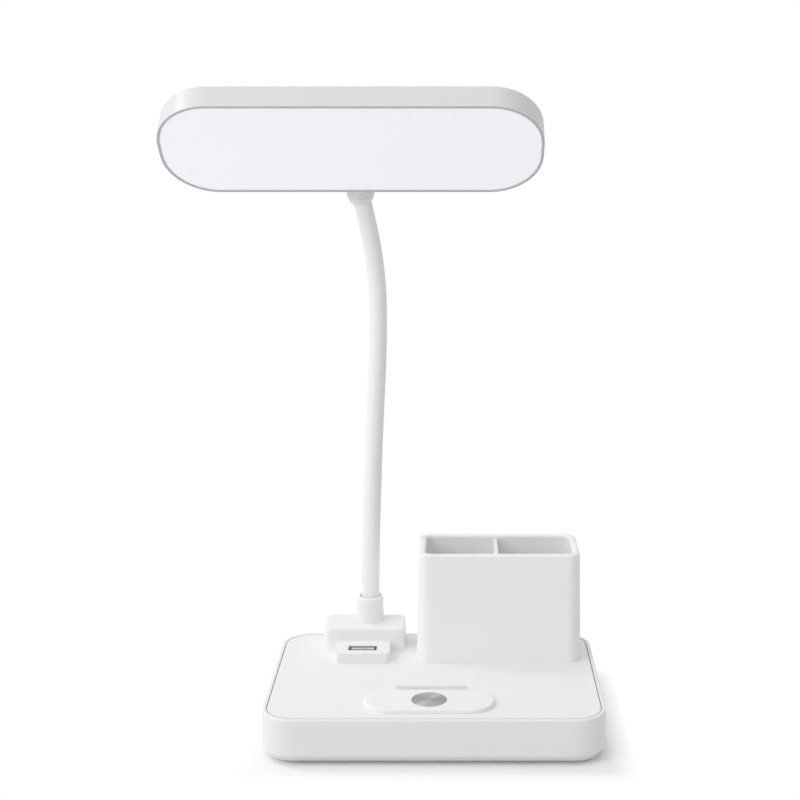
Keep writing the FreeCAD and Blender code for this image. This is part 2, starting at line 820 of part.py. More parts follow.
def make_port_tongue():
    """Plastic insulator: a foot that fills the shell's bottom and the tongue that carries the contacts."""
    body = new_body("port_tongue")
    under = f"{BOARD_TOP} + 2 * port_wall"
    inside_width = "port_width - 2 * port_wall - 2 * core_gap"
    inside_depth = "port_depth - 2 * port_wall - 2 * core_gap"
    foot = new_sketch(body, "tongue_foot_outline", offset=under)
    draw_round_rectangle(foot, inside_width, inside_depth, "port_wall", PORT_ACROSS, PORT_BACK)
    pad(body, "tongue_foot", foot, "4 * port_wall")
    tongue = new_sketch(body, "tongue_outline", offset=under)
    draw_rectangle(tongue, "tongue_width", "tongue_thick", PORT_ACROSS, f"{PORT_BACK} + tongue_offset")
    pad(body, "tongue", tongue, f"{PORT_TOP} - tongue_sunk - ({under})")
    return body


# The charging inlet in the rear wall


def make_charging_inlet():
    body = new_body("charging_inlet")
    middle = f"{BOARD_TOP} + inlet_height / 2"
    outer = new_sketch(body, "inlet_outline", "XZ_Plane", "-(base_depth / 2 - inlet_sunk)")
    draw_stadium(outer, "inlet_width", "inlet_height", INLET_ACROSS, middle)
    pad(body, "inlet_outside", outer, "inlet_depth")
    bore = new_sketch(body, "inlet_bore_outline", "XZ_Plane", "-(base_depth / 2 - inlet_sunk)")
    draw_stadium(bore, "inlet_width - 2 * inlet_wall", "inlet_height - 2 * inlet_wall", INLET_ACROSS, middle)
    pocket(body, "inlet_bore", bore, "inlet_depth - inlet_wall", upward=True)
    return body


def make_inlet_tongue():
    body = new_body("inlet_tongue")
    rear = "-(base_depth / 2 - inlet_sunk - inlet_depth + inlet_wall)"
    outline = new_sketch(body, "inlet_tongue_outline", "XZ_Plane", rear)
    width = "inlet_width - inlet_height"
    draw_rectangle(outline, width, "inlet_tongue_thick", INLET_ACROSS, f"{BOARD_TOP} + inlet_height / 2")
    pad(body, "inlet_tongue_bar", outline, "inlet_depth - 2 * inlet_wall - 2 * inlet_sunk", downward=True)
    return body


# Switch bezel: an oval pad on the top plate, with a guide tube for the button

GUIDE_UNDER = f"{SWITCH_TOP} + guide_gap"


def make_switch_bezel():
    body = new_body("switch_bezel")
    outline = new_sketch(body, "bezel_outline", offset="base_height")
    draw_stadium(outline, "bezel_length", "bezel_width", BEZEL_ACROSS, BEZEL_BACK)
    pad(body, "bezel_pad", outline, "bezel_height")
    finish_edges(body, "bezel_top_round", level_edges(body, BEZEL_TOP), "bezel_round")
    guide = new_sketch(body, "guide_outline", offset="base_height")
    draw_circle(guide, "button_radius + running_gap + guide_wall", BEZEL_ACROSS, BEZEL_BACK)
    pad(body, "guide_tube", guide, f"base_height - ({GUIDE_UNDER})", downward=True)
    bore = new_sketch(body, "button_bore_outline", offset=BEZEL_TOP)
    draw_circle(bore, "button_radius + running_gap", BEZEL_ACROSS, BEZEL_BACK)
    pocket(body, "button_bore", bore, f"{BEZEL_TOP} - ({GUIDE_UNDER}) - guide_floor")
    stem = new_sketch(body, "stem_hole_outline", offset=BEZEL_TOP)
    draw_circle(stem, "plunger_radius + running_gap", BEZEL_ACROSS, BEZEL_BACK)
    pocket(body, "stem_hole", stem, f"{BEZEL_TOP} - ({GUIDE_UNDER})")
    return body


def make_button_cap():
    """Spun metal disc with a bevelled edge and a faintly hollow face."""
    body = new_body("button_cap")
    profile = new_sketch(body, "cap_profile", "XZ_Plane", "0")
    draw_outline(
        profile,
        [
            ("0", "-button_thick"),
            ("button_radius", "-button_thick"),
            ("button_radius", "-button_bevel"),
            ("button_radius - button_bevel", "0"),
            ("0", "-button_bevel / 2"),
        ],
    )
    revolve(body, "cap_disc", profile)
    body.Placement = Placement(spot(BEZEL_ACROSS, BEZEL_BACK, BUTTON_TOP), Rotation())
    return body


def make_button_plunger():
    """Plastic carrier under the metal cap: a flange and the stem that reaches the switch."""
    body = new_body("button_plunger")
    flange = new_sketch(body, "plunger_flange_outline", offset=FLANGE_TOP)
    draw_circle(flange, "plunger_flange_radius", BEZEL_ACROSS, BEZEL_BACK)
    pad(body, "plunger_flange", flange, "plunger_flange_thick", downward=True)
    stem = new_sketch(body, "plunger_stem_outline", offset=FLANGE_TOP)
    draw_circle(stem, "plunger_radius", BEZEL_ACROSS, BEZEL_BACK)
    pad(body, "plunger_stem", stem, f"{FLANGE_TOP} - ({PIN_TOP})", downward=True)
    return body


def make_switch_pin():
    """The small pin of the tact switch that the stem pushes."""
    body = new_body("switch_pin")
    outline = new_sketch(body, "switch_pin_outline", offset=PIN_TOP)
    draw_circle(outline, "switch_pin_radius", BEZEL_ACROSS, BEZEL_BACK)
    pad(body, "switch_pin_post", outline, "switch_pin_length", downward=True)
    return body


# Pen holder: one moulding with a divider, drawn in towards the top


def make_pen_holder():
    body = new_body("pen_holder")
    outline = new_sketch(body, "pen_outline", offset="base_height")
    draw_round_rectangle(outline, PEN_WIDTH, "pen_depth", "pen_corner", PEN_ACROSS, PEN_BACK)
    pad(body, "pen_walls", outline, "pen_height", narrowing="atan(pen_draft / pen_height)")

    rim = "base_height + pen_height"
    floor = "base_height + pen_floor"
    inside_width = f"{PEN_WIDTH} - 2 * (pen_draft + pen_wall)"
    inside_depth = "pen_depth - 2 * (pen_draft + pen_wall)"
    well = new_sketch(body, "well_outline", offset=rim)
    draw_round_rectangle(well, inside_width, inside_depth, "pen_corner - pen_wall", PEN_ACROSS, PEN_BACK)
    pocket(body, "well", well, "pen_height - pen_floor")

    # Both edges of the mouth are rounded before the divider goes in
    finish_edges(body, "mouth_round", level_edges(body, rim), "pen_edge_round")

    divider = new_sketch(body, "divider_outline", offset=floor)
    divider_across = f"{PEN_ACROSS} - divider_shift"
    draw_rectangle(divider, "divider_thick", f"{inside_depth} + pen_wall", divider_across, PEN_BACK)
    pad(body, "divider", divider, "pen_height - pen_floor - divider_drop - pen_edge_round / 2")

    for side_name, sign in (("left", "-"), ("right", "+")):
        place = f"{PEN_ACROSS} {sign} {PEN_STUD_SPREAD}"
        stud = new_sketch(body, f"pen_stud_{side_name}_outline", offset="base_height")
        draw_circle(stud, "pen_stud_radius", place, PEN_BACK)
        pad(body, f"pen_stud_{side_name}", stud, "plate_thick", downward=True)
        pilot = new_sketch(body, f"pen_pilot_{side_name}_outline", offset=PLATE_UNDER)
        draw_circle(pilot, "screw_radius", place, PEN_BACK)
        pocket(body, f"pen_pilot_{side_name}", pilot, "plate_thick + pen_floor / 2", upward=True)
    return body


# Neck: collar with its stud, lock nut, and the gooseneck's lengths of sleeve and core


def make_neck_collar():
    body = new_body("neck_collar")
    profile = new_sketch(body, "collar_profile", "XZ_Plane", "0")
    bore = "tube_radius + tube_gap"
    wire_hole = "tube_radius - tube_wall - core_wall"
    draw_outline(
        profile,
        [
            (wire_hole, "-stud_length"),
            ("stud_radius", "-stud_length"),
            ("stud_radius", "0"),
            ("collar_bottom_radius", "0"),
            ("collar_top_radius", "collar_height"),
            (bore, "collar_height"),
            (bore, "collar_floor"),
            (wire_hole, "collar_floor"),
        ],
    )
    revolve(body, "collar_turned", profile)
    mouth = worth("collar_height")
    slack = worth("core_gap")
    outer_reach = worth("collar_top_radius - collar_round / 2")
    inner_reach = worth("tube_radius + 2 * tube_gap")

    def outer_mouth(edge):
        box = edge.BoundBox
        return abs(box.ZMin - mouth) < slack and box.XMax > outer_reach

    def inner_mouth(edge):
        box = edge.BoundBox
        return abs(box.ZMin - mouth) < slack and box.XMax < inner_reach

    finish_edges(body, "collar_mouth_round", edge_names(body, outer_mouth), "collar_round")
    finish_edges(body, "collar_bore_edge_round", edge_names(body, inner_mouth), "collar_bore_round")
    body.Placement = Placement(spot(NECK_ACROSS, NECK_BACK, BLOCK_TOP), Rotation())
    return body


def make_neck_lock_nut():
    body = new_body("neck_lock_nut")
    outline = new_sketch(body, "lock_nut_outline", offset=f"{BLOCK_TOP} - block_wall")
    draw_hexagon(outline, "nut_flats", NECK_ACROSS, NECK_BACK)
    pad(body, "lock_nut_plate", outline, "nut_thick", downward=True)
    hole = new_sketch(body, "lock_nut_hole_outline", offset=f"{BLOCK_TOP} - block_wall")
    draw_circle(hole, "stud_radius + core_gap", NECK_ACROSS, NECK_BACK)
    pocket(body, "lock_nut_hole", hole, "nut_thick")
    return body


def neck_knees():
    """The gooseneck's knees in the object's frame, from just over the collar's floor to the ball's centre."""
    foot = spot(NECK_ACROSS, NECK_BACK, BLOCK_TOP)
    knees = [foot + Vector(0, 0, worth("collar_floor + running_gap"))]
    for height_share, back_share, across_share in NECK_KNEE_SHARES:
        rise = Vector(
            across_share * worth("neck_swing"),
            back_share * worth("neck_bow"),
            height_share * worth("neck_height"),
        )
        knees.append(foot + rise)
    return knees


def middle(first, second):
    return (first + second) / 2


def toward(start, goal, distance):
    """The point at a distance from the start on the way to the goal."""
    way = goal - start
    return start + way * (distance / way.Length)


def bend_edges(start, knee, end):
    """A straight run, one tangent arc round the knee, and a straight run."""
    reach = worth("bend_share") * min((knee - start).Length, (end - knee).Length)
    arc_start = toward(knee, start, reach)
    arc_end = toward(knee, end, reach)
    half_turn = (knee - start).getAngle(end - knee) / 2
    radius = reach / math.tan(half_turn)
    crown = toward(knee, middle(arc_start, arc_end), radius / math.cos(half_turn) - radius)
    return [
        Part.LineSegment(start, arc_start).toShape(),
        Part.Arc(arc_start, crown, arc_end).toShape(),
        Part.LineSegment(arc_end, end).toShape(),
    ]


def tube_along(edges, radius):
    """A solid rod swept along line and arc edges."""
    first = edges[0]
    start = first.valueAt(first.FirstParameter)
    way = first.tangentAt(first.FirstParameter)
    ring = Part.Wire(Part.Circle(start, way, radius).toShape())
    return Part.Wire(edges).makePipeShell([ring], True, False)


def lengthened(edges, past):
    """The same path with its straight first and last runs made longer."""
    first = edges[0].Vertexes
    last = edges[-1].Vertexes
    start = toward(first[0].Point, first[1].Point, -past)
    end = toward(last[1].Point, last[0].Point, -past)
    if len(edges) == 1:
        return [Part.LineSegment(start, end).toShape()]
    head = Part.LineSegment(start, first[1].Point).toShape()
    tail = Part.LineSegment(last[0].Point, end).toShape()
    return [head] + edges[1:-1] + [tail]


def end_plug(edges, at_start, length):
    """A short cylinder that covers one end of a path over a length."""
    ends = edges[0].Vertexes if at_start else edges[-1].Vertexes[::-1]
    way = ends[1].Point - ends[0].Point
    past = worth("overrun")
    start = toward(ends[0].Point, ends[1].Point, -past)
    return Part.makeCylinder(worth("tube_radius"), length + past, start, way)


def neck_spans():
    """The gooseneck's lengths, each a path from one bending place to the next."""
    knees = neck_knees()
    ball = knees[-1]
    socket = toward(ball, knees[-2], worth("ball_cavity + core_gap"))
    places = [middle(knees[i], knees[i + 1]) for i in range(len(knees) - 2)]
    spans = [[Part.LineSegment(knees[0], places[0]).toShape()]]
    for number in range(1, len(places)):
        spans.append(bend_edges(places[number - 1], knees[number], places[number]))
    spans.append(bend_edges(places[-1], knees[-2], socket))
    return places, spans


def make_gooseneck():
    """Sleeve and steel core of each length, with a round lower end in the hollow end of the one below."""
    outside = worth("tube_radius")
    bore = worth("tube_radius - tube_wall")
    core_radius = worth("tube_radius - tube_wall - core_gap")
    wire_hole = worth("tube_radius - tube_wall - core_wall")
    cup = worth("tube_radius + running_gap")
    short = worth("core_short")
    places, spans = neck_spans()
    made = []
    for number, edges in enumerate(spans):
        long_path = lengthened(edges, 2 * outside)
        sleeve = tube_along(edges, outside)
        core = tube_along(edges, core_radius)
        if number > 0:
            sleeve = sleeve.fuse(Part.makeSphere(outside, places[number - 1]))
            core = core.cut(end_plug(edges, True, short))
        if number < len(places):
            sleeve = sleeve.cut(Part.makeSphere(cup, places[number]))
            core = core.cut(end_plug(edges, False, cup + short))
        sleeve = sleeve.cut(tube_along(long_path, bore))
        core = core.cut(tube_along(long_path, wire_hole))
        made.append(new_group(f"neck_sleeve_{number + 1}", sleeve.removeSplitter().Solids))
        made.append(new_group(f"neck_core_{number + 1}", core.Solids))
    return made


# Swivel: a hollow ball on the gooseneck's end, a domed pin that hangs in it, and the pin's nut


def make_swivel_ball():
    """Hollow ball with a window for the pin on its local +Z side and a socket for the sleeve."""
    knees = neck_knees()
    ball = knees[-1]
    lean = Rotation(Vector(1, 0, 0), 90 - worth("head_tilt"))
    outside = doc.addObject("Part::Sphere", "ball_outside")
    bind(outside, "Radius", "ball_radius")
    cavity = doc.addObject("Part::Sphere", "ball_cavity_sphere")
    bind(cavity, "Radius", "ball_cavity")
    window = doc.addObject("Part::Cone", "ball_window")
    window.Radius1 = 0
    bind(window, "Radius2", "(ball_radius + overrun) * tan(ball_window_angle)")
    bind(window, "Height", "ball_radius + overrun")
    socket = doc.addObject("Part::Cylinder", "ball_socket")
    bind(socket, "Radius", "tube_radius + core_gap")
    bind(socket, "Height", "ball_radius + overrun")
    down_neck = lean.inverted().multVec(knees[-2] - ball)
    socket.Placement = Placement(Vector(0, 0, 0), Rotation(Vector(0, 0, 1), down_neck))
    tools = doc.addObject("Part::MultiFuse", "ball_tools")
    tools.Shapes = [cavity, window, socket]
    shell = doc.addObject("Part::Cut", "swivel_ball")
    shell.Label = "swivel_ball"
    shell.Base = outside
    shell.Tool = tools
    shell.Placement = Placement(ball, lean)
    return shell


def make_swivel_pin():
    """Domed pin: the dome bears on the inside of the ball, the shank runs into the head."""
    ball = neck_knees()[-1]
    lean = Rotation(Vector(1, 0, 0), 90 - worth("head_tilt"))
    dome = doc.addObject("Part::Sphere", "pin_dome")
    bind(dome, "Radius", "ball_cavity - running_gap")
    bind(dome, "Angle1", "asin(dome_rise / (ball_cavity - running_gap))")
    shank = doc.addObject("Part::Cylinder", "pin_shank")
    bind(shank, "Radius", "pin_radius")
    bind(shank, "Height", "boss_reach + head_rim + head_ledge + pin_nut_thick + pin_end - dome_rise")
    bind(shank, "Placement.Base.z", "dome_rise")
    whole = doc.addObject("Part::MultiFuse", "pin_whole")
    whole.Shapes = [dome, shank]
    bore = doc.addObject("Part::Cylinder", "pin_bore")
    bind(bore, "Radius", "wire_radius")
    bind(bore, "Height", "boss_reach + head_rim + head_ledge + pin_nut_thick + pin_end + overrun")
    pin = doc.addObject("Part::Cut", "swivel_pin")
    pin.Label = "swivel_pin"
    pin.Base = whole
    pin.Tool = bore
    pin.Placement = Placement(ball, lean)
    return pin


def make_swivel_nut():
    body = new_body("swivel_nut")
    seat = "boss_reach + head_rim + head_ledge"
    outline = new_sketch(body, "swivel_nut_outline", offset=seat)
    draw_hexagon(outline, "pin_nut_radius * sqrt(3)")
    pad(body, "swivel_nut_plate", outline, "pin_nut_thick")
    hole = new_sketch(body, "swivel_nut_hole_outline", offset=f"{seat} + pin_nut_thick")
    draw_circle(hole, "pin_radius + core_gap")
    pocket(body, "swivel_nut_hole", hole, "pin_nut_thick")
    lean = Rotation(Vector(1, 0, 0), 90 - worth("head_tilt"))
    body.Placement = Placement(neck_knees()[-1], lean)
    return body


# Lamp head. Its own frame: light side down at height zero, X along its length, Y to the back.

LED_BOARD_TOP = "head_thick - head_back - led_stand"
LED_BOARD_LENGTH = "head_length - 2 * (head_rim + head_ledge + led_board_end_gap)"
LED_BOARD_WIDTH = "head_width - 2 * (head_rim + head_ledge + led_board_side_gap)"
LED_SCREW_SPREAD = f"(({LED_BOARD_LENGTH}) / 2 - led_screw_inset)"
LED_ROW_SPREAD = f"({LED_BOARD_WIDTH}) / 2 - led_side_inset"
LED_PITCH = f"({LED_BOARD_LENGTH} - 2 * led_end_inset) / (led_per_row_count - 1)"


def head_placement():
    """Where the head's own frame lies: its rear boss ends at the swivel ball."""
    turn = Rotation(Vector(1, 0, 0), -worth("head_tilt"))
    ball_in_head = spot("head_offset", "head_width / 2 + boss_reach", "head_thick / 2")
    return Placement(neck_knees()[-1] - turn.multVec(ball_in_head), turn)


def make_head_housing():
    body = new_body("head_housing")
    outline = new_sketch(body, "head_outline")
    draw_round_rectangle(outline, "head_length", "head_width", "head_corner")
    pad(body, "head_slab", outline, "head_thick")
    finish_edges(body, "head_back_round", level_edges(body, "head_thick"), "head_edge_round")

    boss = new_sketch(body, "boss_outline", "XZ_Plane", "-(head_width / 2 + boss_reach)")
    draw_circle(boss, "boss_radius", "head_offset", "head_thick / 2")
    pad(body, "boss", boss, "boss_reach + head_rim")

    seat = new_sketch(body, "diffuser_seat_outline")
    inset = "2 * head_rim"
    draw_round_rectangle(seat, f"head_length - {inset}", f"head_width - {inset}", "head_corner - head_rim")
    pocket(body, "diffuser_seat", seat, "diffuser_sunk + diffuser_thick", upward=True)

    room = new_sketch(body, "head_room_outline")
    inset = "2 * (head_rim + head_ledge)"
    draw_round_rectangle(
        room, f"head_length - {inset}", f"head_width - {inset}", "head_corner - head_rim - head_ledge"
    )
    pocket(body, "head_room", room, "head_thick - head_back", upward=True)

    # Dish for the ball, turned on the boss's axis
    dish = body.newObject("PartDesign::SubtractiveSphere", "ball_dish")
    bind(dish, "Radius", "ball_radius + running_gap")
    dish.AttachmentSupport = [(next(f for f in body.Origin.OriginFeatures if f.Role == "XY_Plane"), "")]
    dish.MapMode = "FlatFace"
    bind(dish, "AttachmentOffset.Base.x", "head_offset")
    bind(dish, "AttachmentOffset.Base.y", "head_width / 2 + boss_reach")
    bind(dish, "AttachmentOffset.Base.z", "head_thick / 2")

    pin_hole = new_sketch(body, "pin_hole_outline", "XZ_Plane", "-(head_width / 2 + boss_reach)")
    draw_circle(pin_hole, "pin_radius + running_gap", "head_offset", "head_thick / 2")
    pocket(body, "pin_hole", pin_hole, "boss_reach + head_rim + head_ledge + overrun", upward=True)

    # Stands for the LED board
    for side_name, sign in (("left", "-"), ("right", "+")):
        stand = new_sketch(body, f"led_stand_{side_name}_outline", offset="head_thick - head_back")
        draw_circle(stand, "2 * led_screw_radius", f"0 {sign} {LED_SCREW_SPREAD}")
        pad(body, f"led_stand_{side_name}", stand, "led_stand", downward=True)
        pilot = new_sketch(body, f"led_pilot_{side_name}_outline", offset=LED_BOARD_TOP)
        draw_circle(pilot, "led_screw_radius", f"0 {sign} {LED_SCREW_SPREAD}")
        pocket(body, f"led_pilot_{side_name}", pilot, "led_stand", upward=True)
    body.Placement = head_placement()
    return body


def make_diffuser():
    body = new_body("diffuser")
    outline = new_sketch(body, "diffuser_outline", offset="diffuser_sunk")
    inset = "2 * (head_rim + seam_gap)"
    draw_round_rectangle(
        outline, f"head_length - {inset}", f"head_width - {inset}", "head_corner - head_rim - seam_gap"
    )
    pad(body, "diffuser_sheet", outline, "diffuser_thick")
    hollow = new_sketch(body, "diffuser_hollow_outline", offset="diffuser_sunk + diffuser_thick")
    inset = "2 * (head_rim + 2 * head_ledge)"
    draw_round_rectangle(
        hollow, f"head_length - {inset}", f"head_width - {inset}", "head_corner - head_rim - 2 * head_ledge"
    )
    pocket(body, "diffuser_hollow", hollow, "diffuser_thick / 2")
    body.Placement = head_placement()
    return body


def make_led_board():
    body = new_body("led_board")
    outline = new_sketch(body, "led_board_outline", offset=LED_BOARD_TOP)
    draw_round_rectangle(outline, LED_BOARD_LENGTH, LED_BOARD_WIDTH, "led_board_corner")
    pad(body, "led_board_plate", outline, "led_board_thick", downward=True)
    for side_name, sign in (("left", "-"), ("right", "+")):
        hole = new_sketch(body, f"led_board_hole_{side_name}_outline", offset=LED_BOARD_TOP)
        draw_circle(hole, "led_screw_radius + fit_gap", f"0 {sign} {LED_SCREW_SPREAD}")
        pocket(body, f"led_board_hole_{side_name}", hole, "led_board_thick")
    body.Placement = head_placement()
    return body


def make_led_chips():
    """Two rows of LED chips on the board's light side."""
    count = int(worth("led_per_row_count"))
    size = spot("led_length", "led_width", "led_height")
    under = worth(f"{LED_BOARD_TOP} - led_board_thick - led_height")
    chips = []
    for row_sign in (-1, 1):
        for number in range(count):
            across = (number - (count - 1) / 2) * worth(LED_PITCH)
            back = row_sign * worth(LED_ROW_SPREAD)
            corner = Vector(across - size.x / 2, back - size.y / 2, under)
            chips.append(Part.makeBox(size.x, size.y, size.z, corner))
    return new_group("led_chips", chips, head_placement())


def make_led_board_screws():
    screws = []
    for sign in ("-", "+"):
        screws.append(
            screw_solid(
                f"0 {sign} {LED_SCREW_SPREAD}",
                "0",
                f"{LED_BOARD_TOP} - led_board_thick",
                "led_screw_radius - core_gap",
                "2 * led_screw_radius",
                "led_screw_radius",
                "led_board_thick + led_stand - core_gap",
            )
        )
    return new_group("led_board_screws", screws, head_placement())


pieces = [
    make_base_housing(),
    make_top_plate(),
    make_bottom_cover(),
    make_cover_screws(),
    make_counterweight(),
    make_battery(),
    make_control_board(),
    make_tact_switch(),
    make_port_shell(),
    make_port_tongue(),
    make_charging_inlet(),
    make_inlet_tongue(),
    make_switch_bezel(),
    make_button_cap(),
    make_button_plunger(),
    make_switch_pin(),
    make_pen_holder(),
    make_pen_holder_screws(),
    make_neck_collar(),
    make_neck_lock_nut(),
    make_swivel_ball(),
    make_swivel_pin(),
    make_swivel_nut(),
    make_head_housing(),
    make_diffuser(),
    make_led_board(),
    make_led_chips(),
    make_led_board_screws(),
]
pieces += [make_foot(*place) for place in foot_places()]
pieces += make_gooseneck()
doc.recompute()

for thing in doc.Objects:
    if "Invalid" in thing.State or "Error" in thing.State:
        raise RuntimeError(f"{thing.Label} failed: {thing.State}")
for piece in pieces:
    if piece.Shape.isNull() or not piece.Shape.isValid():
        raise RuntimeError(f"{piece.Label} is not a valid shape")
    piece.Shape.exportStep(f"parts/{piece.Label}.step")
    print(piece.Label, len(piece.Shape.Solids), round(piece.Shape.Volume))
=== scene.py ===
import json
import math

import bpy
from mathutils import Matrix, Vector


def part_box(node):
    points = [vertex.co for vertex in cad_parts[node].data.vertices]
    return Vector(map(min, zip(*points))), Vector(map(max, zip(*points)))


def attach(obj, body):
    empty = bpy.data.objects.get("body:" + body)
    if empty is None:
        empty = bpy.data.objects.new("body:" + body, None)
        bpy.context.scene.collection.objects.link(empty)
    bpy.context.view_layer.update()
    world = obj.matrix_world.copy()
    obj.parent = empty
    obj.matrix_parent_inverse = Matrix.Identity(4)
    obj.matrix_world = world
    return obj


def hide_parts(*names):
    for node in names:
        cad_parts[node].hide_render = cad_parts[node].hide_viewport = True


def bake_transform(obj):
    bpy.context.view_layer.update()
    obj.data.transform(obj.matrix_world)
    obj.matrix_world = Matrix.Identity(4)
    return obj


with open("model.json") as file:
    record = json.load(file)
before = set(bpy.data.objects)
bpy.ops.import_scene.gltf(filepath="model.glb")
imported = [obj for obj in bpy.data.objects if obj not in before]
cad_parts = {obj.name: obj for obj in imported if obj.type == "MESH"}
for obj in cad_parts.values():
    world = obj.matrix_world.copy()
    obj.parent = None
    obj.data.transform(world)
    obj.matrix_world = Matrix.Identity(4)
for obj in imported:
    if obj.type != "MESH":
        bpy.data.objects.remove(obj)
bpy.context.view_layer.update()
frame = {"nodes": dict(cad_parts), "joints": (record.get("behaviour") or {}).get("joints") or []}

MM = 0.001

# Base housing and bottom cover: two mouldings of white satin plastic that close round the electronics.
# The housing is one thin wall with a raised rim, the cover a flat plate drawn in below so that the
# lamp seems to float, and four screws pull them together from underneath.
WHITE = (0.89, 0.891, 0.892)
HOUSING_ROUGH = 0.4
COVER_WHITE = (0.9, 0.9, 0.902)
COVER_ROUGH = 0.48
MOULD_GRAIN = 0.35 * MM
MOULD_GRAIN_DEPTH = 0.004 * MM
MOULD_EDGE = 0.25 * MM
EDGE_SAMPLES = 4
FLOW_MARK = 34 * MM
FLOW_STRETCH = (1, 1.6, 1)
FLOW_SHARES = (0.985, 1.01)
TOUCH_MARK = 7 * MM
TOUCH_ROUGH = (-0.04, 0.06)
NOISE_LOW = 0.3
NOISE_HIGH = 0.7


def start_material(name, colour, roughness, metallic=0.0):
    """A new material: its node tree and its shader, with the plain values set."""
    material = bpy.data.materials.new(name)
    material.use_nodes = True
    shader = material.node_tree.nodes["Principled BSDF"]
    shader.inputs["Base Color"].default_value = (*colour, 1)
    shader.inputs["Roughness"].default_value = roughness
    shader.inputs["Metallic"].default_value = metallic
    return material, material.node_tree, shader


def lumps(tree, size, stretch=(1, 1, 1), detail=2.0):
    """Cloudy noise with lumps of about one size, fixed to the piece."""
    place = tree.nodes.new("ShaderNodeTexCoord")
    scale = tree.nodes.new("ShaderNodeMapping")
    scale.inputs["Scale"].default_value = [1 / (size * each) for each in stretch]
    noise = tree.nodes.new("ShaderNodeTexNoise")
    noise.inputs["Scale"].default_value = 1.0
    noise.inputs["Detail"].default_value = detail
    tree.links.new(place.outputs["Object"], scale.inputs["Vector"])
    tree.links.new(scale.outputs["Vector"], noise.inputs["Vector"])
    return noise.outputs["Fac"]


def vary_colour(tree, shader, pattern, colour, shares):
    """The colour runs from one share of itself to another, darker to lighter, with a pattern."""
    mixer = tree.nodes.new("ShaderNodeMix")
    mixer.data_type = "RGBA"
    for end, share in zip(("A", "B"), shares):
        mixer.inputs[end].default_value = (*[min(channel * share, 1) for channel in colour], 1)
    tree.links.new(pattern, mixer.inputs["Factor"])
    tree.links.new(mixer.outputs["Result"], shader.inputs["Base Color"])


def vary_roughness(tree, shader, pattern, roughness, changes):
    """The roughness runs between two changes to it as a noise pattern rises."""
    span = tree.nodes.new("ShaderNodeMapRange")
    span.inputs["From Min"].default_value = NOISE_LOW
    span.inputs["From Max"].default_value = NOISE_HIGH
    span.inputs["To Min"].default_value = roughness + changes[0]
    span.inputs["To Max"].default_value = roughness + changes[1]
    tree.links.new(pattern, span.inputs["Value"])
    tree.links.new(span.outputs["Result"], shader.inputs["Roughness"])


def press(tree, shader, pattern, depth, edge_round=0.0):
    """Raises a pattern out of the surface by a depth, over edges softened by a small radius."""
    bump = tree.nodes.new("ShaderNodeBump")
    bump.inputs["Strength"].default_value = 1.0
    bump.inputs["Distance"].default_value = depth
    tree.links.new(pattern, bump.inputs["Height"])
    if edge_round:
        soft = tree.nodes.new("ShaderNodeBevel")
        soft.samples = EDGE_SAMPLES
        soft.inputs["Radius"].default_value = edge_round
        tree.links.new(soft.outputs["Normal"], bump.inputs["Normal"])
    tree.links.new(bump.outputs["Normal"], shader.inputs["Normal"])


def moulded_plastic(
    name, colour, roughness, grain=MOULD_GRAIN, depth=MOULD_GRAIN_DEPTH, edge_round=MOULD_EDGE
):
    """Injection-moulded plastic: spark-eroded grain, faint flow marks and patches of handling."""
    material, tree, shader = start_material(name, colour, roughness)
    vary_colour(tree, shader, lumps(tree, FLOW_MARK, FLOW_STRETCH, detail=1.5), colour, FLOW_SHARES)
    vary_roughness(tree, shader, lumps(tree, TOUCH_MARK, detail=4), roughness, TOUCH_ROUGH)
    press(tree, shader, lumps(tree, grain, detail=3), depth, edge_round)
    return material


def finish_nodes(material, *names):
    """Gives construction nodes their finish in every material slot."""
    for name in names:
        for place in frame["nodes"][name].material_slots:
            place.material = material


finish_nodes(moulded_plastic("housing_plastic", WHITE, HOUSING_ROUGH, edge_round=0), "base_housing")
finish_nodes(moulded_plastic("cover_plastic", COVER_WHITE, COVER_ROUGH), "bottom_cover")

# Top plate: a white moulding let into the housing's rim. The block that carries the neck, the block
# of the port and the low ridge that stops a phone grow out of it, with the screw posts underneath.
# A shadow groove runs round its edge, so that the fit inside the rim looks even.
PLATE_WHITE = (0.905, 0.907, 0.910)
PLATE_ROUGH = 0.46
PLATE_GRAIN_DEPTH = 0.005 * MM
PLATE_CORNER = 12.15 * MM
CORNER_STEPS = 20
GROOVE_WIDTH = 0.4 * MM
GROOVE_DEPTH = 1.0 * MM
PAST_EDGE = 0.08 * MM
PLATE_SMOOTH = math.radians(30)
LEVEL_FACE = 0.9999
AREA_WEIGHT = 100
WELD = 0.001 * MM

plate_plastic = moulded_plastic(
    "plate_plastic", PLATE_WHITE, PLATE_ROUGH, depth=PLATE_GRAIN_DEPTH, edge_round=0
)
finish_nodes(plate_plastic, "top_plate")


def deselect():
    """Leaves edit mode, with nothing selected."""
    if bpy.context.object and bpy.context.object.mode != "OBJECT":
        bpy.ops.object.mode_set(mode="OBJECT")
    bpy.ops.object.select_all(action="DESELECT")


def weld_points():
    """Joins the active piece's points where they meet, and leaves it in edit mode."""
    bpy.ops.object.mode_set(mode="EDIT")
    bpy.ops.mesh.select_all(action="SELECT")
    bpy.ops.mesh.remove_doubles(threshold=WELD)


def joined_copy(name, node):
    """A copy of a construction node in which its loose triangles are joined up."""
    deselect()
    copy = bpy.data.objects.new(name, frame["nodes"][node].data.copy())
    bpy.context.scene.collection.objects.link(copy)
    bpy.context.view_layer.objects.active = copy
    copy.select_set(True)
    weld_points()
    bpy.ops.object.mode_set(mode="OBJECT")
    return copy


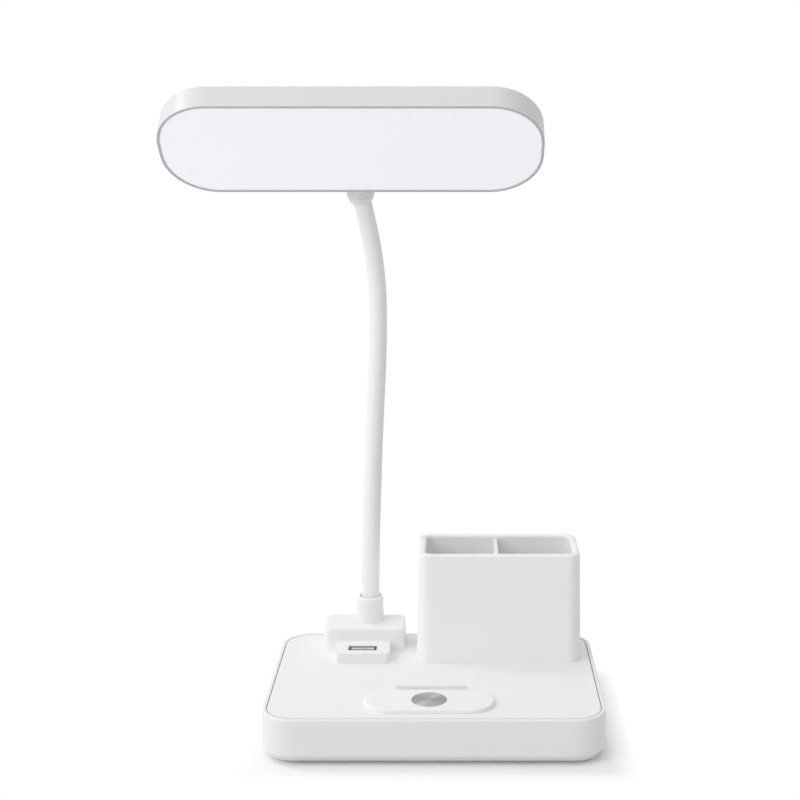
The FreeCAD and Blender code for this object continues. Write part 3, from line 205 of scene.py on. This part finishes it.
def groove_ring(low, high, top):
    """A ring with rounded corners that stands on the groove's floor and just passes the plate's edge."""
    deselect()
    middle = (low + high) / 2
    bpy.ops.mesh.primitive_plane_add(size=1, location=(middle.x, middle.y, top - GROOVE_DEPTH))
    ring = bpy.context.object
    ring.scale = (high.x - low.x + 2 * PAST_EDGE, high.y - low.y + 2 * PAST_EDGE, 1)
    bpy.ops.object.transform_apply(location=True, rotation=True, scale=True)
    bpy.ops.object.mode_set(mode="EDIT")
    bpy.ops.mesh.select_all(action="SELECT")
    bpy.ops.mesh.bevel(offset=PLATE_CORNER + PAST_EDGE, segments=CORNER_STEPS, affect="VERTICES")
    bpy.ops.mesh.select_all(action="SELECT")
    bpy.ops.mesh.inset(thickness=GROOVE_WIDTH + PAST_EDGE)
    bpy.ops.mesh.delete(type="ONLY_FACE")
    bpy.ops.mesh.select_all(action="SELECT")
    bpy.ops.mesh.extrude_region_move(TRANSFORM_OT_translate={"value": (0, 0, 2 * GROOVE_DEPTH)})
    bpy.ops.mesh.select_all(action="SELECT")
    bpy.ops.mesh.normals_make_consistent(inside=False)
    bpy.ops.object.mode_set(mode="OBJECT")
    return ring


def cut_groove(plate, ring):
    """Takes the ring's shape out of the plate, and the ring with it."""
    cut = plate.modifiers.new("groove", "BOOLEAN")
    cut.operation = "DIFFERENCE"
    cut.solver = "EXACT"
    cut.object = ring
    deselect()
    bpy.context.view_layer.objects.active = plate
    plate.select_set(True)
    bpy.ops.object.modifier_apply(modifier="groove")
    bpy.data.objects.remove(ring)


def shade_evenly(plate):
    """Smooth rounds between flat faces: the level faces stay flat, and large faces lead the rest."""
    bpy.ops.object.shade_smooth_by_angle(angle=PLATE_SMOOTH)
    for face in plate.data.polygons:
        if face.normal.z > LEVEL_FACE:
            face.use_smooth = False
    shading = plate.modifiers.new("even_shading", "WEIGHTED_NORMAL")
    shading.mode = "FACE_AREA"
    shading.weight = AREA_WEIGHT
    shading.keep_sharp = True
    bpy.ops.object.modifier_apply(modifier="even_shading")


# The plate lies level with the housing's top, so the ring stands a groove's depth below it.
plate = joined_copy("grooved_plate", "top_plate")
cut_groove(plate, groove_ring(*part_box("top_plate"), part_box("base_housing")[1].z))
shade_evenly(plate)
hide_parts("top_plate")
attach(plate, "base")

# Feet: four round pads of soft translucent-white rubber. They are glued under the corners of the
# base, over the screws of the cover.
FOOT_RUBBER = (0.72, 0.72, 0.715)
FOOT_ROUGH = 0.62
FOOT_GRAIN = 0.3 * MM
FOOT_GRAIN_DEPTH = 0.006 * MM
DUST_PATCH = 2.2 * MM
DUST_SHARES = (0.96, 1.02)
DUST_ROUGH = (-0.05, 0.08)
RUBBER_SHEEN = 0.08
RUBBER_SHEEN_ROUGH = 0.5


def moulded_rubber(name, colour, roughness, grain, depth):
    """Soft rubber: matt, a little dusty on its high spots, with a close fine grain."""
    material, tree, shader = start_material(name, colour, roughness)
    dust = lumps(tree, DUST_PATCH, detail=5)
    vary_colour(tree, shader, dust, colour, DUST_SHARES)
    vary_roughness(tree, shader, dust, roughness, DUST_ROUGH)
    press(tree, shader, lumps(tree, grain, detail=2), depth)
    shader.inputs["Sheen Weight"].default_value = RUBBER_SHEEN
    shader.inputs["Sheen Roughness"].default_value = RUBBER_SHEEN_ROUGH
    return material


finish_nodes(
    moulded_rubber("foot_silicone", FOOT_RUBBER, FOOT_ROUGH, FOOT_GRAIN, FOOT_GRAIN_DEPTH),
    "foot_front_left",
    "foot_front_right",
    "foot_rear_left",
    "foot_rear_right",
)

# Screws and nuts: zinc-plated steel with the streaks that rolling and turning leave. They hold the
# cover, the pen holder, the light board, the neck and the swivel.
ZINC = (0.62, 0.62, 0.60)
ZINC_ROUGH = 0.34
ZINC_STREAK = 0.12 * MM
ZINC_STREAK_DEPTH = 0.003 * MM
DRAWN_UP = (1, 1, 12)
FILM_PATCH = 1.8 * MM
FILM_SHARES = (0.9, 1.06)
FILM_ROUGH = (-0.05, 0.08)


def worked_metal(name, colour, roughness, streak, depth, stretch=DRAWN_UP):
    """Metal with fine streaks one way and cloudy patches of film."""
    material, tree, shader = start_material(name, colour, roughness, metallic=1.0)
    film = lumps(tree, FILM_PATCH, detail=4)
    vary_colour(tree, shader, film, colour, FILM_SHARES)
    vary_roughness(tree, shader, film, roughness, FILM_ROUGH)
    press(tree, shader, lumps(tree, streak, stretch, detail=3), depth)
    return material


finish_nodes(
    worked_metal("zinc_plate", ZINC, ZINC_ROUGH, ZINC_STREAK, ZINC_STREAK_DEPTH),
    "cover_screws",
    "pen_holder_screws",
    "led_board_screws",
    "neck_lock_nut",
    "swivel_nut",
)

# Inside the base: a flat cell in its shrink film, a rolled steel weight and the control board,
# green laminate with a faint weave, that stands on four posts of the cover and carries the switch.
CELL_BLUE = (0.10, 0.24, 0.46)
CELL_ROUGH = 0.3
CELL_WRINKLE = 1.2 * MM
CELL_WRINKLE_DEPTH = 0.01 * MM
WEIGHT_STEEL = (0.42, 0.42, 0.43)
WEIGHT_ROUGH = 0.42
WEIGHT_STREAK = 0.4 * MM
WEIGHT_STREAK_DEPTH = 0.01 * MM
ROLLED_ACROSS = (14, 1, 1)
LAMINATE_GREEN = (0.03, 0.16, 0.08)
LAMINATE_ROUGH = 0.35
LAMINATE_WEAVE = 0.6 * MM
LAMINATE_WEAVE_DEPTH = 0.006 * MM
SWITCH_BLACK = (0.035, 0.035, 0.038)
SWITCH_ROUGH = 0.5
SWITCH_GRAIN = 0.25 * MM

finish_nodes(moulded_plastic("cell_film", CELL_BLUE, CELL_ROUGH, CELL_WRINKLE, CELL_WRINKLE_DEPTH), "battery")
finish_nodes(
    worked_metal(
        "rolled_steel", WEIGHT_STEEL, WEIGHT_ROUGH, WEIGHT_STREAK, WEIGHT_STREAK_DEPTH, ROLLED_ACROSS
    ),
    "counterweight",
)
finish_nodes(
    moulded_plastic(
        "board_laminate", LAMINATE_GREEN, LAMINATE_ROUGH, LAMINATE_WEAVE, LAMINATE_WEAVE_DEPTH
    ),
    "control_board",
)
finish_nodes(
    moulded_plastic("switch_nylon", SWITCH_BLACK, SWITCH_ROUGH, SWITCH_GRAIN),
    "tact_switch",
    "switch_pin",
    "button_plunger",
)

# Output port and charging inlet: folded shells of bright steel, each with a pale plastic tongue
# inside. The output port's tongue carries four bright nickel contacts on its front face.
PORT_STEEL = (0.42, 0.42, 0.43)
PORT_ROUGH = 0.26
PORT_STREAK = 0.1 * MM
PORT_STREAK_DEPTH = 0.002 * MM
ROLLED_LEVEL = (10, 10, 1)
TONGUE_GREY = (0.64, 0.64, 0.63)
TONGUE_ROUGH = 0.42
TONGUE_GRAIN = 0.25 * MM
TONGUE_THICK = 1.9 * MM
TONGUE_SHIFT = 0.8 * MM
NICKEL = (0.88, 0.87, 0.85)
NICKEL_ROUGH = 0.24
NICKEL_STREAK = 0.08 * MM
NICKEL_STREAK_DEPTH = 0.001 * MM
PORT_CONTACTS = 4
PORT_CONTACT_WIDTH = 1.0 * MM
PORT_CONTACT_PITCH = 2.4 * MM
PORT_CONTACT_THICK = 0.12 * MM
PORT_CONTACT_LENGTH = 5.5 * MM
CONTACT_EDGE = 0.05 * MM
CONTACT_EDGE_STEPS = 2
ROUND_SMOOTH = math.radians(40)

finish_nodes(
    worked_metal("folded_steel", PORT_STEEL, PORT_ROUGH, PORT_STREAK, PORT_STREAK_DEPTH, ROLLED_LEVEL),
    "port_shell",
    "charging_inlet",
)
finish_nodes(
    moulded_plastic("tongue_plastic", TONGUE_GREY, TONGUE_ROUGH, TONGUE_GRAIN),
    "port_tongue",
    "inlet_tongue",
)
contact_nickel = worked_metal("contact_nickel", NICKEL, NICKEL_ROUGH, NICKEL_STREAK, NICKEL_STREAK_DEPTH)


def contact_bars(name, centre, size, count, pitch):
    """A row of flat contacts along X, each with its edges eased, as one piece."""
    deselect()
    first = centre - Vector(((count - 1) / 2 * pitch, 0, 0))
    bpy.ops.mesh.primitive_cube_add(size=1, location=first, scale=size)
    bpy.ops.object.mode_set(mode="EDIT")
    bpy.ops.mesh.bevel(offset=CONTACT_EDGE, segments=CONTACT_EDGE_STEPS, affect="EDGES")
    bpy.ops.object.mode_set(mode="OBJECT")
    row = bpy.context.object
    for number in range(1, count):
        bar = row.copy()
        bar.data = row.data.copy()
        bar.location.x += number * pitch
        bpy.context.scene.collection.objects.link(bar)
        bar.select_set(True)
    bpy.ops.object.join()
    bpy.ops.object.transform_apply(location=True, rotation=True, scale=True)
    row.name = name
    row.data.materials.append(contact_nickel)
    bpy.ops.object.shade_smooth_by_angle(angle=ROUND_SMOOTH)
    return row


shell_low, shell_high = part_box("port_shell")
tongue_front = (shell_low.y + shell_high.y) / 2 + TONGUE_SHIFT - TONGUE_THICK / 2
tongue_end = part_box("port_tongue")[1].z
port_contacts = contact_bars(
    "port_contacts",
    Vector((
        (shell_low.x + shell_high.x) / 2,
        tongue_front - PORT_CONTACT_THICK / 2,
        tongue_end - PORT_CONTACT_LENGTH / 2 - 2 * CONTACT_EDGE,
    )),
    (PORT_CONTACT_WIDTH, PORT_CONTACT_THICK, PORT_CONTACT_LENGTH),
    PORT_CONTACTS,
    PORT_CONTACT_PITCH,
)
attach(port_contacts, "base")

# Bezel: a long oval pad of smooth white plastic, glossier than the plate, with the guide tube of the
# button below it.
BEZEL_WHITE = (0.93, 0.931, 0.933)
BEZEL_ROUGH = 0.32
BEZEL_GRAIN_DEPTH = 0.002 * MM

finish_nodes(
    moulded_plastic("bezel_plastic", BEZEL_WHITE, BEZEL_ROUGH, depth=BEZEL_GRAIN_DEPTH), "switch_bezel"
)

# Button: a thin disc of steel on a plastic plunger. Its face is spun, which leaves turned rings so
# fine that light falls on them in wedges.
DISC_STEEL = (0.455, 0.455, 0.46)
DISC_ROUGH = 0.5
DISC_STREAK = 0.88
QUARTER_TURN = 0.25
DISC_RING = 0.11 * MM
DISC_RING_WANDER = 0.6
DISC_RING_SHARES = (0.93, 1.07)
DISC_GROOVE = 0.0022 * MM
RING_AT_SCALE_ONE = math.pi / 10


def spun_steel(name):
    """Steel turned on a lathe: rings about the disc's middle, and light drawn out along them."""
    material, tree, shader = start_material(name, DISC_STEEL, DISC_ROUGH, metallic=1.0)
    disc_low, disc_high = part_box("button_cap")
    place = tree.nodes.new("ShaderNodeTexCoord")
    centred = tree.nodes.new("ShaderNodeMapping")
    centred.inputs["Location"].default_value = -(disc_low + disc_high) / 2
    tree.links.new(place.outputs["Object"], centred.inputs["Vector"])
    rings = tree.nodes.new("ShaderNodeTexWave")
    rings.wave_type = "RINGS"
    rings.rings_direction = "Z"
    rings.inputs["Scale"].default_value = RING_AT_SCALE_ONE / DISC_RING
    rings.inputs["Distortion"].default_value = DISC_RING_WANDER
    rings.inputs["Detail"].default_value = 2
    tree.links.new(centred.outputs["Vector"], rings.inputs["Vector"])
    vary_colour(tree, shader, rings.outputs["Fac"], DISC_STEEL, DISC_RING_SHARES)
    press(tree, shader, rings.outputs["Fac"], DISC_GROOVE)
    shader.inputs["Anisotropic"].default_value = DISC_STREAK
    shader.inputs["Anisotropic Rotation"].default_value = QUARTER_TURN
    turn = tree.nodes.new("ShaderNodeTangent")
    turn.direction_type = "RADIAL"
    turn.axis = "Z"
    tree.links.new(turn.outputs["Tangent"], shader.inputs["Tangent"])
    return material


finish_nodes(spun_steel("spun_steel"), "button_cap")

# Pen holder: one deep moulding of white plastic with a thin divider, open at the top. Two studs
# under its floor pass through the plate, and a screw holds each from below.
HOLDER_WHITE = (0.942, 0.944, 0.944)
HOLDER_ROUGH = 0.44
HOLDER_GRAIN_DEPTH = 0.005 * MM

finish_nodes(
    moulded_plastic("holder_plastic", HOLDER_WHITE, HOLDER_ROUGH, depth=HOLDER_GRAIN_DEPTH), "pen_holder"
)

# Neck: a turned plastic collar, and the gooseneck that stands in it. The gooseneck is a bendable
# steel core under one seamless silicone skin, which stretches over its four bending places.
COLLAR_WHITE = (0.9, 0.901, 0.902)
COLLAR_ROUGH = 0.4
COLLAR_GRAIN_DEPTH = 0.003 * MM
COLLAR_FLOOR = 2.3 * MM
CORE_STEEL = (0.36, 0.36, 0.37)
CORE_ROUGH = 0.4
CORE_STREAK = 0.3 * MM
CORE_STREAK_DEPTH = 0.01 * MM
STUD_LENGTH = 8 * MM
SOCKET_DEPTH = 4.35 * MM
SKIN_WHITE = (0.925, 0.926, 0.928)
SKIN_ROUGH = 0.5
SKIN_GRAIN = 0.4 * MM
SKIN_GRAIN_DEPTH = 0.004 * MM
SKIN_RADIUS = 4.3 * MM
SKIN_STEPS = 14
SKIN_ROUND = 7

bend_names = ["neck_lean_low", "neck_sway_low", "neck_lean_high", "neck_sway_high"]
neck_bodies = ["base", "neck_lower", "neck_middle", "neck_upper", "neck_top"]
core_names = [f"neck_core_{number}" for number in range(1, len(neck_bodies) + 1)]
finish_nodes(
    moulded_plastic("collar_plastic", COLLAR_WHITE, COLLAR_ROUGH, depth=COLLAR_GRAIN_DEPTH), "neck_collar"
)
finish_nodes(worked_metal("core_steel", CORE_STEEL, CORE_ROUGH, CORE_STREAK, CORE_STREAK_DEPTH), *core_names)
skin_silicone = moulded_rubber("neck_silicone", SKIN_WHITE, SKIN_ROUGH, SKIN_GRAIN, SKIN_GRAIN_DEPTH)

# The gooseneck's line has a knee before, between and after its bending places, and each bending
# place lies half-way between two knees.
bends = {joint["name"]: Vector(joint["pos_m"]) for joint in frame["joints"] if "pos_m" in joint}
collar_low, collar_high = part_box("neck_collar")
foot = (collar_low + collar_high) / 2
foot.z = collar_low.z + STUD_LENGTH + COLLAR_FLOOR
knees = [foot]
for name in bend_names:
    knees.append(2 * bends[name] - knees[-1])
knees.append(bends["head_tilt"])
halves = [(low + high) / 2 for low, high in zip(knees, knees[1:])]


def crown(number):
    """Where the gooseneck's line rounds a knee, half-way between two bending places."""
    return (halves[number - 1] + 2 * knees[number] + halves[number]) / 4


def neck_skin(number, start, end):
    """One length of skin about the half-way point of two knees, with a round section and closed ends."""
    here = halves[number - 1]
    quarter = (knees[number] - knees[number - 1]) / 4
    control = [start, here - quarter, here + quarter, end]
    deselect()
    bpy.ops.curve.primitive_nurbs_path_add(location=(0, 0, 0))
    line = bpy.context.object
    line.data.splines.clear()
    spline = line.data.splines.new("NURBS")
    spline.points.add(len(control) - 1)
    for point, place in zip(spline.points, control):
        point.co = (*place, 1)
    spline.order_u = 3
    spline.use_endpoint_u = True
    line.data.resolution_u = SKIN_STEPS
    line.data.bevel_depth = SKIN_RADIUS
    line.data.bevel_resolution = SKIN_ROUND
    line.data.use_fill_caps = True
    bpy.ops.object.convert(target="MESH")
    piece = bpy.context.object
    piece.name = f"gooseneck_skin_{number}"
    weld_points()
    bpy.ops.mesh.normals_make_consistent(inside=False)
    bpy.ops.object.mode_set(mode="OBJECT")
    bpy.ops.object.shade_smooth_by_angle(angle=ROUND_SMOOTH)
    piece.data.materials.append(skin_silicone)
    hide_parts(f"neck_sleeve_{number}")
    return piece


for number, name in enumerate(bend_names, start=1):
    start = foot if number == 1 else crown(number - 1)
    skin = neck_skin(number, start, crown(number))
    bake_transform(skin)
last = len(knees) - 1
into_ball = knees[last] - (knees[last] - knees[last - 1]).normalized() * SOCKET_DEPTH
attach(neck_skin(last, crown(last - 1), into_ball), "neck_top")

# Swivel: a hollow ball of white nylon on the neck's end, with a domed steel pin that turns in it.
# The boss of the head and a nut hold the pin.
BALL_WHITE = (0.83, 0.83, 0.832)
BALL_ROUGH = 0.36
BALL_GRAIN_DEPTH = 0.002 * MM
PIN_STEEL = (0.6, 0.6, 0.61)
PIN_ROUGH = 0.28
PIN_STREAK = 0.1 * MM
PIN_STREAK_DEPTH = 0.002 * MM

finish_nodes(moulded_plastic("ball_nylon", BALL_WHITE, BALL_ROUGH, depth=BALL_GRAIN_DEPTH), "swivel_ball")
finish_nodes(worked_metal("pin_steel", PIN_STEEL, PIN_ROUGH, PIN_STREAK, PIN_STREAK_DEPTH), "swivel_pin")

# Lamp head: a shallow white tray with a rolled edge. Behind its opal sheet lies an aluminium board
# with two rows of light-emitting chips under drops of yellow resin.
HEAD_WHITE = (0.74, 0.743, 0.748)
HEAD_ROUGH = 0.4
HEAD_GRAIN_DEPTH = 0.004 * MM
# Painted shade: this grey on the rim's narrow front face stands in for the shade that falls there.
RIM_PAINTED_SHADE = (0.55, 0.552, 0.558)
FACE_EDGE = 0.03 * MM
BOARD_ALUMINIUM = (0.78, 0.78, 0.78)
BOARD_ROUGH = 0.38
BOARD_STREAK = 0.3 * MM
BOARD_STREAK_DEPTH = 0.004 * MM
BRUSHED_ACROSS = (12, 1, 1)
PHOSPHOR = (0.86, 0.72, 0.16)
PHOSPHOR_ROUGH = 0.3
PHOSPHOR_GRAIN = 0.3 * MM
PHOSPHOR_GRAIN_DEPTH = 0.002 * MM
OPAL = (0.86, 0.866, 0.90)
OPAL_ROUGH = 0.42
OPAL_GLOW = 0.27
OPAL_HAZE = 26 * MM
OPAL_HAZE_SHARES = (0.992, 1.008)
OPAL_GRAIN = 0.2 * MM
OPAL_GRAIN_DEPTH = 0.0015 * MM

sheet = frame["nodes"]["diffuser"].data
face_way = max(sheet.polygons, key=lambda polygon: polygon.area).normal.copy()
if face_way.y > 0:
    face_way.negate()
face_plane = max(corner.co.dot(face_way) for corner in frame["nodes"]["head_housing"].data.vertices)


def rim_shaded_plastic(name, colour, rim_shade_colour):
    """Moulded plastic with painted shade on the rim's narrow front face, round the opal sheet: a flat grey
    there stands in for the shade that falls on it.
    """
    material = moulded_plastic(name, colour, HEAD_ROUGH, depth=HEAD_GRAIN_DEPTH)
    tree = material.node_tree
    shader = tree.nodes["Principled BSDF"]
    place = tree.nodes.new("ShaderNodeTexCoord")
    forward = tree.nodes.new("ShaderNodeVectorMath")
    forward.operation = "DOT_PRODUCT"
    forward.inputs[1].default_value = face_way
    tree.links.new(place.outputs["Object"], forward.inputs[0])
    on_face = tree.nodes.new("ShaderNodeMapRange")
    on_face.inputs["From Min"].default_value = face_plane - 2 * FACE_EDGE
    on_face.inputs["From Max"].default_value = face_plane - FACE_EDGE
    tree.links.new(forward.outputs["Value"], on_face.inputs["Value"])
    # The grey mixed in here is painted shade on the rim's front face, not a colour of the plastic.
    both = tree.nodes.new("ShaderNodeMix")
    both.data_type = "RGBA"
    both.inputs["B"].default_value = (*rim_shade_colour, 1)
    tree.links.new(shader.inputs["Base Color"].links[0].from_socket, both.inputs["A"])
    tree.links.new(on_face.outputs["Result"], both.inputs["Factor"])
    tree.links.new(both.outputs["Result"], shader.inputs["Base Color"])
    return material


def opal_sheet(name):
    """Opal acrylic: frosted by a very fine grain, lit through from behind, a shade cooler than white."""
    material, tree, shader = start_material(name, OPAL, OPAL_ROUGH)
    vary_colour(tree, shader, lumps(tree, OPAL_HAZE, detail=2), OPAL, OPAL_HAZE_SHARES)
    press(tree, shader, lumps(tree, OPAL_GRAIN, detail=2), OPAL_GRAIN_DEPTH)
    shader.inputs["Emission Color"].default_value = (*OPAL, 1)
    shader.inputs["Emission Strength"].default_value = OPAL_GLOW
    return material


finish_nodes(rim_shaded_plastic("head_plastic", HEAD_WHITE, RIM_PAINTED_SHADE), "head_housing")
finish_nodes(
    worked_metal(
        "board_aluminium", BOARD_ALUMINIUM, BOARD_ROUGH, BOARD_STREAK, BOARD_STREAK_DEPTH, BRUSHED_ACROSS
    ),
    "led_board",
)
finish_nodes(
    moulded_rubber("phosphor_resin", PHOSPHOR, PHOSPHOR_ROUGH, PHOSPHOR_GRAIN, PHOSPHOR_GRAIN_DEPTH),
    "led_chips",
)
finish_nodes(opal_sheet("opal_acrylic"), "diffuser")

# Floor: a broad white sheet that keeps the lamp's soft shadow close round the base. Further out it
# glows as white as the room, and from below it is clear, so that it hides nothing.
FLOOR_SIZE = 40.0
FLOOR_WHITE = (1, 1, 1, 1)
FLOOR_BOUNCE = (0.82, 0.82, 0.82, 1)
NEAR_GLOW = 0.08
FAR_GLOW = 1.0
SHADOW_SHIFT = Vector((1, -4, 0)) * MM
SHADOW_REACH = 12 * MM


def combined(tree, operation, first, second):
    """A number worked out from two others."""
    maths = tree.nodes.new("ShaderNodeMath")
    maths.operation = operation
    tree.links.new(first, maths.inputs[0])
    tree.links.new(second, maths.inputs[1])
    return maths.outputs[0]


def seen_by_eye(tree):
    """1 for rays from the camera, for reflections and for what is seen through, else 0."""
    path = tree.nodes.new("ShaderNodeLightPath").outputs
    either = combined(tree, "MAXIMUM", path["Is Camera Ray"], path["Is Glossy Ray"])
    return combined(tree, "MAXIMUM", either, path["Is Transmission Ray"])


def past_base(tree):
    """How far a place on the floor lies outside the base's outline, moved by the shadow's shift."""
    base_low, base_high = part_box("base_housing")
    base_half = (base_high - base_low) / 2
    base_half.z = 0
    reach = tree.nodes.new("ShaderNodeTexCoord").outputs["Object"]
    steps = [
        ("SUBTRACT", SHADOW_SHIFT),
        ("ABSOLUTE", None),
        ("SUBTRACT", base_half),
        ("MAXIMUM", Vector((0, 0, 0))),
        ("LENGTH", None),
    ]
    for operation, amount in steps:
        step = tree.nodes.new("ShaderNodeVectorMath")
        step.operation = operation
        tree.links.new(reach, step.inputs[0])
        if amount is not None:
            step.inputs[1].default_value = amount
        reach = step.outputs["Value"] if operation == "LENGTH" else step.outputs["Vector"]
    return reach


def mixed_shaders(tree, share, first, second):
    """Two shaders mixed by a share, 0 for the first and 1 for the second."""
    mixer = tree.nodes.new("ShaderNodeMixShader")
    tree.links.new(share, mixer.inputs["Fac"])
    tree.links.new(first, mixer.inputs[1])
    tree.links.new(second, mixer.inputs[2])
    return mixer.outputs["Shader"]


def floor_paint(name):
    """Matt white that takes a shadow near the base and glows white further out."""
    paint = bpy.data.materials.new(name)
    paint.use_nodes = True
    tree = paint.node_tree
    tree.nodes.clear()
    seen = seen_by_eye(tree)
    white = tree.nodes.new("ShaderNodeMix")
    white.data_type = "RGBA"
    white.inputs["A"].default_value = FLOOR_BOUNCE
    white.inputs["B"].default_value = FLOOR_WHITE
    tree.links.new(seen, white.inputs["Factor"])
    matt = tree.nodes.new("ShaderNodeBsdfDiffuse")
    tree.links.new(white.outputs["Result"], matt.inputs["Color"])
    growth = tree.nodes.new("ShaderNodeMapRange")
    growth.inputs["From Min"].default_value = 0
    growth.inputs["From Max"].default_value = SHADOW_REACH
    growth.inputs["To Min"].default_value = NEAR_GLOW
    growth.inputs["To Max"].default_value = FAR_GLOW
    tree.links.new(past_base(tree), growth.inputs["Value"])
    share = combined(tree, "MULTIPLY", growth.outputs["Result"], seen)
    glow = tree.nodes.new("ShaderNodeEmission").outputs["Emission"]
    lit = mixed_shaders(tree, share, matt.outputs["BSDF"], glow)
    from_below = tree.nodes.new("ShaderNodeNewGeometry").outputs["Backfacing"]
    clear = tree.nodes.new("ShaderNodeBsdfTransparent").outputs["BSDF"]
    result = tree.nodes.new("ShaderNodeOutputMaterial")
    tree.links.new(mixed_shaders(tree, from_below, lit, clear), result.inputs["Surface"])
    return paint


deselect()
bpy.ops.mesh.primitive_plane_add(size=FLOOR_SIZE, location=(0, 0, 0))
floor = bpy.context.object
floor.name = "studio_floor"
floor.data.materials.append(floor_paint("studio_white"))

# Room: pale walls all round, dimmer on the right so that the lamp's right side falls into shade.
# Straight to the eye, and in anything shiny, the room is plain white.
ROOM_LEFT = 0.8
ROOM_RIGHT = 0.39

world = bpy.data.worlds.new("pale_room")
bpy.context.scene.world = world
world.use_nodes = True
tree = world.node_tree
way = tree.nodes.new("ShaderNodeTexCoord")
axes = tree.nodes.new("ShaderNodeSeparateXYZ")
tree.links.new(way.outputs["Generated"], axes.inputs["Vector"])
dimming = tree.nodes.new("ShaderNodeMapRange")
dimming.inputs["From Min"].default_value = -1
dimming.inputs["From Max"].default_value = 1
dimming.inputs["To Min"].default_value = ROOM_LEFT
dimming.inputs["To Max"].default_value = ROOM_RIGHT
tree.links.new(axes.outputs["X"], dimming.inputs["Value"])
strength = tree.nodes.new("ShaderNodeMix")
strength.data_type = "FLOAT"
strength.inputs["B"].default_value = 1.0
tree.links.new(seen_by_eye(tree), strength.inputs["Factor"])
tree.links.new(dimming.outputs["Result"], strength.inputs["A"])
room = tree.nodes["Background"]
room.inputs["Color"].default_value = (1, 1, 1, 1)
tree.links.new(strength.outputs["Result"], room.inputs["Strength"])

# Lamps: a broad softbox overhead, a soft key from the front left, and a small lamp behind on the
# left that draws the light wedges on the button's spun face.
SOFTBOX_POWER = 6.9
SOFTBOX_SIZE = 2.2
SOFTBOX_PLACE = Vector((0, 0, 1.8))
SOFTBOX_TARGET = Vector((0, 0, 0))
KEY_POWER = 5.3
KEY_SIZE = 0.7
KEY_PLACE = Vector((-1.1, -0.75, 0.9))
KEY_TARGET = Vector((0, 0, 0.05))
GLINT_POWER = 1.5
GLINT_SIZE = 0.06
GLINT_PLACE = Vector((-0.84, 0.27, 1.0))
GLINT_TARGET = Vector((0, 0, 0.02))


def softbox(name, power, size, place, target):
    """A square area lamp that faces a point."""
    deselect()
    bpy.ops.object.light_add(type="AREA", location=place)
    lamp = bpy.context.object
    lamp.name = name
    lamp.data.shape = "SQUARE"
    lamp.data.size = size
    lamp.data.energy = power
    lamp.rotation_euler = (target - place).to_track_quat("-Z", "Y").to_euler()


softbox("overhead_softbox", SOFTBOX_POWER, SOFTBOX_SIZE, SOFTBOX_PLACE, SOFTBOX_TARGET)
softbox("key_softbox", KEY_POWER, KEY_SIZE, KEY_PLACE, KEY_TARGET)
softbox("glint_lamp", GLINT_POWER, GLINT_SIZE, GLINT_PLACE, GLINT_TARGET)

# Camera: in front of the lamp at about the height of its head, dipped towards the base, with its
# frame shifted sideways instead of turned.
CAMERA_PLACE = Vector((8.685, -617.78, 278.20)) * MM
CAMERA_DIP = 11.679
CAMERA_LENS = 63.98
CAMERA_SENSOR = 36
CAMERA_SHIFT = -0.0673
CAMERA_NEAR = 0.01
CAMERA_FAR = 100

deselect()
bpy.ops.object.camera_add(location=CAMERA_PLACE, rotation=(math.radians(90 - CAMERA_DIP), 0, 0))
camera = bpy.context.object
camera.data.sensor_width = CAMERA_SENSOR
camera.data.lens = CAMERA_LENS
camera.data.shift_x = CAMERA_SHIFT
camera.data.clip_start = CAMERA_NEAR
camera.data.clip_end = CAMERA_FAR
bpy.context.scene.camera = camera
bpy.context.scene.view_settings.view_transform = "Standard"
